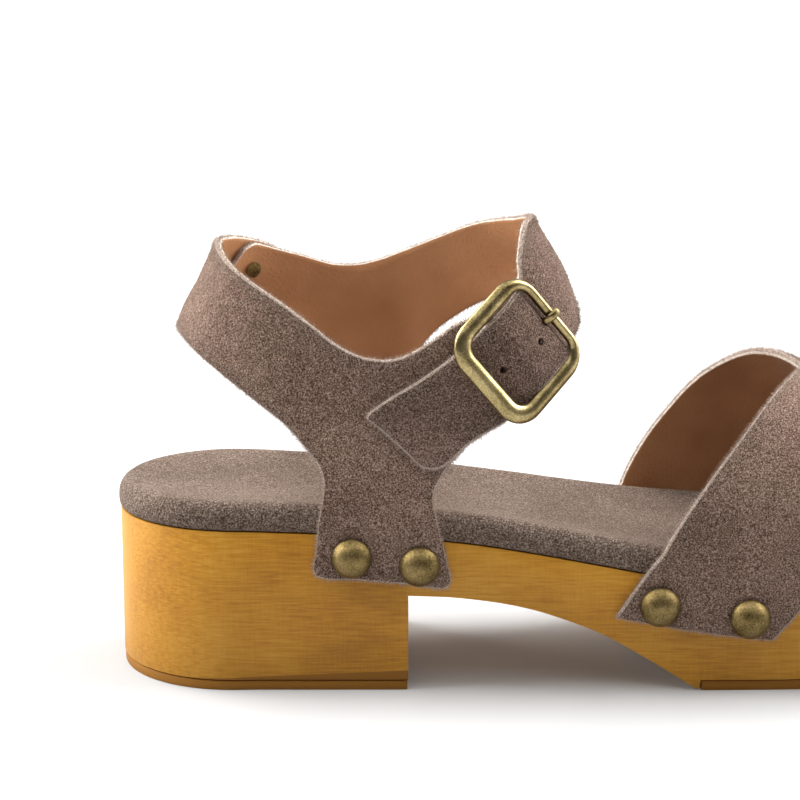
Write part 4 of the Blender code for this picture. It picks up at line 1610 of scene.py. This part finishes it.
@dataclass
class Sole:
    """Wooden block, rubber under heel and forefoot, and the padded footbed."""

    wood_edge: float = 0.5
    rubber_edge: float = 0.25
    edge_segments: int = 2
    edge_angle: float = 40.0
    crisp_angle: float = 35.0
    bed_crisp_angle: float = 60.0
    reach: float = 70.0
    margin: float = 6.0
    lift_inset: float = 0.2
    tread_corner: float = 0.4
    curve_steps: int = 48
    top_steps: int = 120
    tread_steps: int = 60
    bed_toe_share: float = 0.62
    bed_fill: float = 0.7
    outline: Points = field(default_factory=SOLE.outline)

    def _side_block(self, name: str, profile: Points, outline: Points, material: Material) -> Item:
        """Cut a block to a side profile and then to an outline.

        Args:
            name: Name of the piece.
            profile: Closed side profile.
            outline: Closed outline seen from above.
            material: Finish of the piece.

        Returns:
            The block.
        """
        item = new_object(name, prism(name, profile, Pull.SIDEWAYS, -self.reach, self.reach), material)
        plan = prism("plan", outline, Pull.UPWARD, -self.margin, self.reach)
        cut(item, new_object("plan", plan, material), Cut.KEEP_COMMON)
        return item

    def _finish(self, item: Item, edge: float, slot: Slot, node: str) -> None:
        """Ease the sharp edges of a block, shade it and tie it to the frame.

        Args:
            item: The block.
            edge: Width of the eased edge.
            slot: Slot of the record.
            node: Node that the block stands for.
        """
        step = item.modifiers.new("edge", "BEVEL")
        step.width = edge * MM
        step.segments = self.edge_segments
        step.limit_method = "ANGLE"
        step.angle_limit = math.radians(self.edge_angle)
        settle(item)
        shade(item, self.crisp_angle)
        hand_in(item, slot, node)

    def build_wood(self, material: Material) -> None:
        """Build the wooden block with heel, arch and toe spring.

        Args:
            material: Finish of the wood.
        """
        bottom = SOLE.rubber + GAP
        toe_end = SOLE.length + self.margin
        arch = np.linspace(ARCH[0].station, ARCH[-1].station, self.curve_steps)
        tread = np.linspace(TREAD_BASE[0].station, toe_end, self.curve_steps)
        top = np.linspace(toe_end, -self.margin, self.top_steps)
        profile = np.concatenate(
            (
                [(-self.margin, bottom), (SOLE.heel_length, bottom)],
                np.column_stack((arch, SOLE.arch(arch))),
                [(TREAD_BASE[0].station - self.tread_corner, ARCH[-1].height)],
                np.column_stack((tread, SOLE.tread(tread) + bottom)),
                np.column_stack((top, SOLE.top(top))),
            )
        )
        block = self._side_block("wooden_sole_block", profile, self.outline, material)
        self._finish(block, self.wood_edge, Slot.WOOD, "wooden_sole")

    def build_rubber(self, material: Material) -> None:
        """Build heel lift and forefoot sole.

        Args:
            material: Finish of the rubber.
        """
        points = moved_out(self.outline, -self.lift_inset)
        front = SOLE.heel_length - self.lift_inset
        half = len(points) // 2
        outer, inner = (side[side[:, 0] < front] for side in (points[: half + 1], points[half + 1 :]))
        corners = [(front, outer[-1, 1]), (front, inner[0, 1])]
        plan = np.concatenate((outer, corners, inner))
        mesh = prism("heel_lift_rubber", plan, Pull.UPWARD, 0.0, SOLE.rubber)
        lift = new_object("heel_lift_rubber", mesh, material)
        self._finish(lift, self.rubber_edge, Slot.RUBBER, "heel_lift")

        stations = np.linspace(TREAD_BASE[0].station + GAP, SOLE.length + self.margin, self.tread_steps)
        below = np.column_stack((stations, SOLE.tread(stations)))
        profile = np.concatenate((below, (below + (0.0, SOLE.rubber))[::-1]))
        forefoot = self._side_block("forefoot_rubber", profile, moved_out(self.outline, -GAP), material)
        self._finish(forefoot, self.rubber_edge, Slot.RUBBER, "forefoot_sole")

    def build_footbed(self, material: Material) -> None:
        """Build the padded footbed from under its middle, round the rolled rim and over its top.

        Args:
            material: Finish of the footbed.
        """
        spine_end = SOLE.length - SOLE.toe_round * self.bed_toe_share
        spine_x = np.clip(self.outline[:, 0], SOLE.heel_round, spine_end)
        spine = np.column_stack((spine_x, SOLE.centre(spine_x)))
        rings = []
        for row in BED_SECTION:
            flat = spine + (moved_out(self.outline, -row.inset) - spine) * row.reach
            rings.append(np.column_stack((flat, SOLE.top(flat[:, 0]) + row.height)))
        bed = new_object("footbed_pad", skin("footbed_pad", np.array(rings)), material)
        shade(bed, self.bed_crisp_angle)
        hand_in(bed, Slot.FOOTBED, "footbed")


# Metal


@dataclass
class Fastenings:
    """Nail heads and rivets, set on their places by Geometry Nodes; a size is radius and height."""

    ankle: AnkleForm
    vamp: VampForm
    nail_size: tuple[float, float] = (5.5, 3.9)
    rivet_size: tuple[float, float] = (3.4, 1.4)
    back_size: tuple[float, float] = (2.3, 0.6)
    rim: float = 0.6
    dome_steps: int = 14
    turn_steps: int = 40
    crisp_angle: float = 50.0
    outside: float = 2 * OVER + GAP
    inside: float = -GAP - 0.2

    def _head(self, name: str, radius: float, height: float) -> Mesh:
        """Turned dome with a small upright rim, on the origin of its own space.

        Args:
            name: Name of the mesh.
            radius: Radius of the head.
            height: Height of the head with its rim.

        Returns:
            Closed mesh of the head.
        """
        crown = height - min(self.rim, height / 2)
        ball = (radius**2 + crown**2) / (2 * crown)
        angle = np.linspace(0.0, math.asin(radius / ball), self.dome_steps)
        dome = np.column_stack((ball * np.sin(angle), ball * np.cos(angle) - ball + height))
        profile = np.concatenate((dome, [(radius, 0.0), (0.0, 0.0)]))
        turn = full_turn(self.turn_steps)
        rings = []
        for r, h in profile:
            rings.append(np.column_stack((r * np.cos(turn), r * np.sin(turn), np.full_like(turn, h))))
        return skin(name, np.array(rings) + ORIGIN)

    def _set(self, name: str, head: Mesh, places: Points, facing: Points, material: Material) -> Item:
        """Set a head on every place.

        Args:
            name: Name of the piece.
            head: Mesh of one head.
            places: Foot of every head.
            facing: Direction of every head.
            material: Finish of the heads.

        Returns:
            The piece with all heads.
        """
        source = new_object(f"{name}_pattern", head, material)
        shade(source, self.crisp_angle)
        mesh = bpy.data.meshes.new(name)
        mesh.from_pydata(to_frame(places).tolist(), [], [])
        direction = mesh.attributes.new("facing", "FLOAT_VECTOR", "POINT")
        direction.data.foreach_set("vector", np.asarray(facing, np.float32).ravel())
        item = new_object(name, mesh, material)

        tree, values = new_scatter(name, {"Head": source})
        given = add(tree, "NodeGroupInput").outputs
        pattern = add(tree, "GeometryNodeObjectInfo", {"Object": given["Head"]}).outputs["Geometry"]
        way = add(tree, "GeometryNodeInputNamedAttribute", {"Name": "facing"}, data_type="FLOAT_VECTOR")
        upright = {"Vector": way.outputs["Attribute"]}
        turned = add(tree, "FunctionNodeAlignRotationToVector", upright, axis="Z").outputs[0]
        instances = {"Points": given["Geometry"], "Instance": pattern, "Rotation": turned}
        scatter(item, tree, values, instances, material)
        bpy.data.objects.remove(source, do_unlink=True)
        return item

    def _rivets(
        self,
        name: str,
        rivets: Sequence[NailPlace],
        lifts: Points,
        head: Mesh,
        material: Material,
    ) -> Item:
        """Set rivet heads on the quarters.

        Args:
            name: Name of the piece.
            rivets: Places of the rivets.
            lifts: Lift of every head; it faces out where it is above the lining, and else in.
            head: Mesh of one head.
            material: Finish of the heads.

        Returns:
            The piece with all heads.
        """
        u, v = np.array([(rivet.u, rivet.v) for rivet in rivets]).T
        facing = self.ankle.normal(u, v) * np.where(lifts > 0, 1.0, -1.0)[:, None]
        return self._set(name, head, self.ankle.wrap(u, v, lifts), facing, material)

    def build(self, material: Material) -> None:
        """Build nail heads and rivets.

        Args:
            material: Finish of the metal.
        """
        quarter_nails = OUTER_QUARTER_NAILS + INNER_QUARTER_NAILS
        band_nails = OUTER_BAND_NAILS + INNER_BAND_NAILS
        places, facing = [], []
        for form, nails in ((self.ankle, quarter_nails), (self.vamp, band_nails)):
            u, v = np.array([(nail.u, nail.v) for nail in nails]).T
            places.append(form.wrap(u, v, OVER))
            facing.append(form.normal(u, v))
        head = self._head("nail_head", *self.nail_size)
        heads = self._set("nail_heads", head, np.concatenate(places), np.concatenate(facing), material)
        hand_in(heads, Slot.BRASS, *(nail.node for nail in quarter_nails + band_nails))

        rivets = (*HEEL_RIVETS, BUCKLE_RIVET)
        lifts = np.array((self.outside, self.outside, self.inside))
        head = self._head("rivet_head", *self.rivet_size)
        heads = self._rivets("rivet_heads", rivets, lifts, head, material)
        hand_in(heads, Slot.BRASS, *(rivet.node for rivet in rivets))
        lifts = np.full(len(HEEL_RIVETS), self.inside)
        head = self._head("rivet_back", *self.back_size)
        backs = self._rivets("rivet_backs", HEEL_RIVETS, lifts, head, material)
        hand_in(backs, Slot.BRASS)


@dataclass
class Buckle:
    """Square frame with a wide rear bar, a low centre bar and the prong."""

    along: float = 31.4
    across: float = 33.5
    corner: float = 8.4
    thick: float = 3.0
    side_bar: float = 4.6
    rear_bar: float = 5.4
    front_bar: float = 2.6
    bar_power: float = 2.1
    centre: tuple[float, float, float] = (109.47, -31.46, 93.79)
    turn: float = math.radians(25.0)
    tilt: float = math.radians(10.0)
    angle: float = math.radians(39.6)
    corner_steps: int = 12
    frame_sides: int = 20
    bar_sides: int = 16
    crisp_angle: float = 50.0
    centre_radius: float = 1.2
    centre_lift: float = -2.9
    centre_level: Sequence[float] = (10.0, 5.0, 0.0, -5.0, -10.0)
    centre_end: Sequence[tuple[float, float]] = ((13.65, 0.0), (13.05, -1.3), (12.15, -2.7))
    centre_steps: int = 4
    prong_radius: float = 1.0
    prong_clearance: float = 0.4
    prong_steps: int = 5
    prong_crisp_angle: float = 60.0
    flat_start: float = 0.5
    flat_span: float = 0.2
    flat_wider: float = 0.15
    flat_thinner: float = 0.35
    tip_share: float = 0.03
    tip_least: float = 0.5
    prong_line: Sequence[tuple[float, float]] = (
        (1.7, -2.9),
        (6.5, -3.0),
        (9.6, -2.9),
        (11.3, -1.2),
        (12.0, 1.0),
        (13.0, 2.1),
        (14.4, 2.4),
        (15.9, 2.2),
    )

    def _on(self, forward: Points, sideways: Points, lift: Points) -> Points:
        """Points in the buckle's own measure: the frame is flat and lies against the strap.

        Args:
            forward: Way along the strap.
            sideways: Way across it.
            lift: Way out from the middle of the frame.

        Returns:
            Points in the shoe's measure.
        """
        level = np.array((math.cos(self.turn), math.sin(self.turn), 0.0))
        outward = np.array((level[1], -level[0], 0.0))
        out = outward * math.cos(self.tilt) + np.array((0.0, 0.0, math.sin(self.tilt)))
        upward = np.cross(out, level)
        along = level * math.cos(self.angle) + upward * math.sin(self.angle)
        across = upward * math.cos(self.angle) - level * math.sin(self.angle)
        ways = ((forward, along), (sideways, across), (lift, out))
        return np.array(self.centre) + sum(np.asarray(value, float)[..., None] * way for value, way in ways)

    def _frame_line(self, low: float, high: float, half: float, corner: float) -> Points:
        """Points round a rectangle with round corners.

        Args:
            low: Rear end of the rectangle.
            high: Front end of the rectangle.
            half: Half its width.
            corner: Radius of its corners.

        Returns:
            One row of forward and sideways per point.
        """
        rear, front, side = low + corner, high - corner, half - corner
        centres = ((front, side, 0), (rear, side, 90), (rear, -side, 180), (front, -side, 270))
        points = []
        for forward, sideways, start in centres:
            angle = np.radians(start + np.linspace(0.0, 90.0, self.corner_steps + 1))
            arc = (forward + corner * np.cos(angle), sideways + corner * np.sin(angle))
            points.append(np.column_stack(arc))
        return np.concatenate(points)

    def _bar(self, name: str, line: Points, sideways: bool, wide: Points, deep: Points) -> Mesh:
        """Bar along a line in the plane of lift and one direction of the buckle.

        Args:
            name: Name of the mesh.
            line: Rows of the way along and the lift.
            sideways: Whether the line runs sideways instead of forward.
            wide: Half width of the bar at every row.
            deep: Half depth of the bar at every row.

        Returns:
            Closed mesh of the bar.
        """
        ways = unit(np.gradient(line, axis=0))
        turn = full_turn(self.bar_sides)
        rings = []
        for (at, lift), (dx, dz), half_wide, half_deep in zip(line, ways, wide, deep):
            first = at - dz * half_deep * np.cos(turn)
            second = half_wide * np.sin(turn)
            lifts = lift + dx * half_deep * np.cos(turn)
            rings.append(self._on(second, first, lifts) if sideways else self._on(first, second, lifts))
        ends = [np.tile(ring.mean(axis=0), (len(turn), 1)) for ring in (rings[0], rings[-1])]
        return skin(name, np.array([ends[0], *rings, ends[1]]))

    @staticmethod
    def _dense(rows: Sequence[tuple[float, float]], steps: int) -> Points:
        """Smooth line through rows, with so many steps from row to row."""
        return spline(np.array(rows), np.linspace(0.0, len(rows) - 1.0, (len(rows) - 1) * steps + 1))

    def _build_frame(self, material: Material) -> None:
        """Build the frame with its centre bar.

        Args:
            material: Metal of the buckle.
        """
        half_along, half_across = self.along / 2, self.across / 2
        outer = self._frame_line(-half_along, half_along, half_across, self.corner)
        rear, front = self.rear_bar - half_along, half_along - self.front_bar
        inner = self._frame_line(rear, front, half_across - self.side_bar, self.corner - self.side_bar)
        turn = full_turn(self.frame_sides)
        shares = 0.5 - 0.5 * power_wave(np.cos(turn), self.bar_power)
        rings = []
        for share, lift in zip(shares, self.thick / 2 * np.sin(turn)):
            forward, sideways = (outer + (inner - outer) * share).T
            rings.append(self._on(forward, sideways, np.full(len(outer), lift)))
        mesh = skin("buckle_frame_brass", np.array(rings), closed=True)
        body = new_object("buckle_frame_brass", mesh, material)

        level = [(at, self.centre_lift) for at in self.centre_level]
        far_end = [(-at, lift) for at, lift in reversed(self.centre_end)]
        line = self._dense([*self.centre_end, *level, *far_end], self.centre_steps)
        radius = np.full(len(line), self.centre_radius)
        bar = new_object("centre_bar", self._bar("centre_bar", line, True, radius, radius), material)
        cut(body, bar, Cut.JOIN)
        shade(body, self.crisp_angle)
        hand_in(body, Slot.BRASS, "buckle_frame")

    def build(self, strap: Item, material: Material) -> None:
        """Build the buckle and cut the prong's slot into the strap.

        Args:
            strap: Leather piece that the prong comes through.
            material: Metal of the buckle.
        """
        self._build_frame(material)
        line = self._dense(self.prong_line, self.prong_steps)
        share = np.linspace(0.0, 1.0, len(line))
        blunt = np.clip((1.0 - share) / self.tip_share, self.tip_least, 1.0) ** 0.5
        flattened = smooth_step((share - self.flat_start) / self.flat_span)
        wide = (self.prong_radius + self.flat_wider * flattened) * blunt
        deep = (self.prong_radius - self.flat_thinner * flattened) * blunt
        mesh = self._bar("buckle_prong_brass", line, False, wide, deep)
        prong = new_object("buckle_prong_brass", mesh, material)
        shade(prong, self.prong_crisp_angle)
        hand_in(prong, Slot.BRASS, "buckle_prong")

        first, last = line[1] - line[0], line[-1] - line[-2]
        longer = np.concatenate(([line[0] - first], line, [line[-1] + last]))
        wider = np.full(len(longer), self.prong_radius + self.prong_clearance)
        mesh = self._bar("prong_slot", longer, False, wider, wider)
        cut(strap, new_object("prong_slot", mesh, *strap.data.materials), Cut.TAKE_AWAY)


# Studio


@dataclass
class Studio:
    """Pale floor, soft light from above and the camera of the product view."""

    lens: float = 99.0
    camera_place: tuple[float, float, float] = (-0.08051, -0.61152, 0.206)
    camera_turn: float = math.radians(3.0)
    camera_tilt: float = math.radians(12.19)
    lights: Sequence[SoftBox] = (
        SoftBox("overhead", (0.0, -0.10, 1.30), 2.0, 19.0),
        SoftBox("left_box", (-1.00, 0.26, 0.78), 1.2, 42.0),
        SoftBox("right_box", (1.00, 0.26, 0.78), 1.2, 43.0),
    )
    lit_place: tuple[float, float, float] = (0.0, 0.0, 0.06)
    white: str = "#ffffff"
    floor_half: float = 6.0
    floor_colour: str = "#acacac"
    floor_roughness: float = 0.8
    # Emission of the floor: a faint glow near the shoe that lightens its shadow (painted light), rising to
    # white far away.
    floor_white_and_shadow_lift: dict[str, float] = field(
        default_factory=lambda: {"From Min": 0.25, "From Max": 1.2, "To Min": 0.06, "To Max": 0.95}
    )
    world_glow: dict[str, float] = field(
        default_factory=lambda: {"From Min": -0.7, "From Max": 0.4, "To Min": 0.04, "To Max": 0.35}
    )

    def build(self) -> None:
        """Build floor, lights, world and camera."""
        self._floor()
        for light in self.lights:
            self._light(light)
        self._world()
        self._camera()
        bpy.context.scene.view_settings.view_transform = "Standard"

    def _floor(self) -> None:
        """White sweep that the shoe stands on; it glows faintly near the shoe, painted light that lightens
        the shadow.
        """
        half = self.floor_half / MM
        corners = np.array(((-half, -half, 0.0), (half, -half, 0.0), (half, half, 0.0), (-half, half, 0.0)))
        material, tree, shader = new_material("white_floor")
        place = add(tree, "ShaderNodeTexCoord").outputs["Object"]
        away = add(tree, "ShaderNodeVectorMath", {0: place}, operation="LENGTH").outputs["Value"]
        # glow: the floor's own light, faint near the shoe where it lightens the shadow as painted light, and
        # rising until the far sweep runs out to plain white
        glow = add(tree, "ShaderNodeMapRange", {"Value": away, **self.floor_white_and_shadow_lift}).outputs[0]
        values = {
            "Base Color": linear(self.floor_colour),
            "Roughness": self.floor_roughness,
            "Emission Color": linear(self.white),
            "Emission Strength": glow,
        }
        fill(tree, shader, values)
        floor = new_object("floor", mesh_of("floor", corners, [(0, 1, 2, 3)]), material)

    def _light(self, light: SoftBox) -> None:
        """Square soft box turned to the shoe.

        Args:
            light: Its name, place, size and power.
        """
        lamp = bpy.data.lights.new(light.name, "AREA")
        lamp.size = light.size
        lamp.energy = light.watts
        item = bpy.data.objects.new(light.name, lamp)
        bpy.context.scene.collection.objects.link(item)
        item.location = light.place
        item.rotation_euler = (Vector(self.lit_place) - item.location).to_track_quat("-Z", "Y").to_euler()

    def _world(self) -> None:
        """White surround that is darker on the camera's side."""
        world = bpy.data.worlds.new("studio")
        bpy.context.scene.world = world
        world.use_nodes = True
        tree = world.node_tree
        tree.nodes.clear()
        ray = add(tree, "ShaderNodeLightPath").outputs["Is Camera Ray"]
        way = add(tree, "ShaderNodeTexCoord").outputs["Generated"]
        away = add(tree, "ShaderNodeSeparateXYZ", {0: way}).outputs["Y"]
        side = add(tree, "ShaderNodeMapRange", {"Value": away, **self.world_glow}).outputs[0]
        dim, plain = (
            add(tree, "ShaderNodeBackground", {"Color": linear(self.white), "Strength": strength}).outputs[0]
            for strength in (side, 1.0)
        )
        mixed = add(tree, "ShaderNodeMixShader", {0: ray, 1: dim, 2: plain}).outputs[0]
        add(tree, "ShaderNodeOutputWorld", {"Surface": mixed})

    def _camera(self) -> None:
        """Camera of the product view."""
        lens = bpy.data.cameras.new("camera")
        lens.lens = self.lens
        item = bpy.data.objects.new("camera", lens)
        bpy.context.scene.collection.objects.link(item)
        turn, tilt = self.camera_turn, self.camera_tilt
        right = Vector((math.cos(turn), -math.sin(turn), 0.0))
        level = math.cos(tilt)
        forward = Vector((math.sin(turn) * level, math.cos(turn) * level, -math.sin(tilt)))
        turned = Matrix((right, right.cross(forward), -forward)).transposed().to_4x4()
        item.matrix_world = Matrix.Translation(self.camera_place) @ turned
        bpy.context.scene.camera = item


def main() -> None:
    """Build the pieces in order."""
    logging.basicConfig(level=logging.INFO, format="%(message)s")
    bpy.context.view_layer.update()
    finishes = Finishes()
    ankle, vamp = AnkleForm(), VampForm()
    sole = Sole()
    sole.build_wood(finishes.wood)
    sole.build_rubber(finishes.rubber)
    sole.build_footbed(finishes.footbed)
    strap = Upper(ankle, vamp).build(finishes)
    Buckle().build(strap, finishes.buckle)
    Fastenings(ankle, vamp).build(finishes.brass)
    Studio().build()


if __name__ == "__main__":
    main()
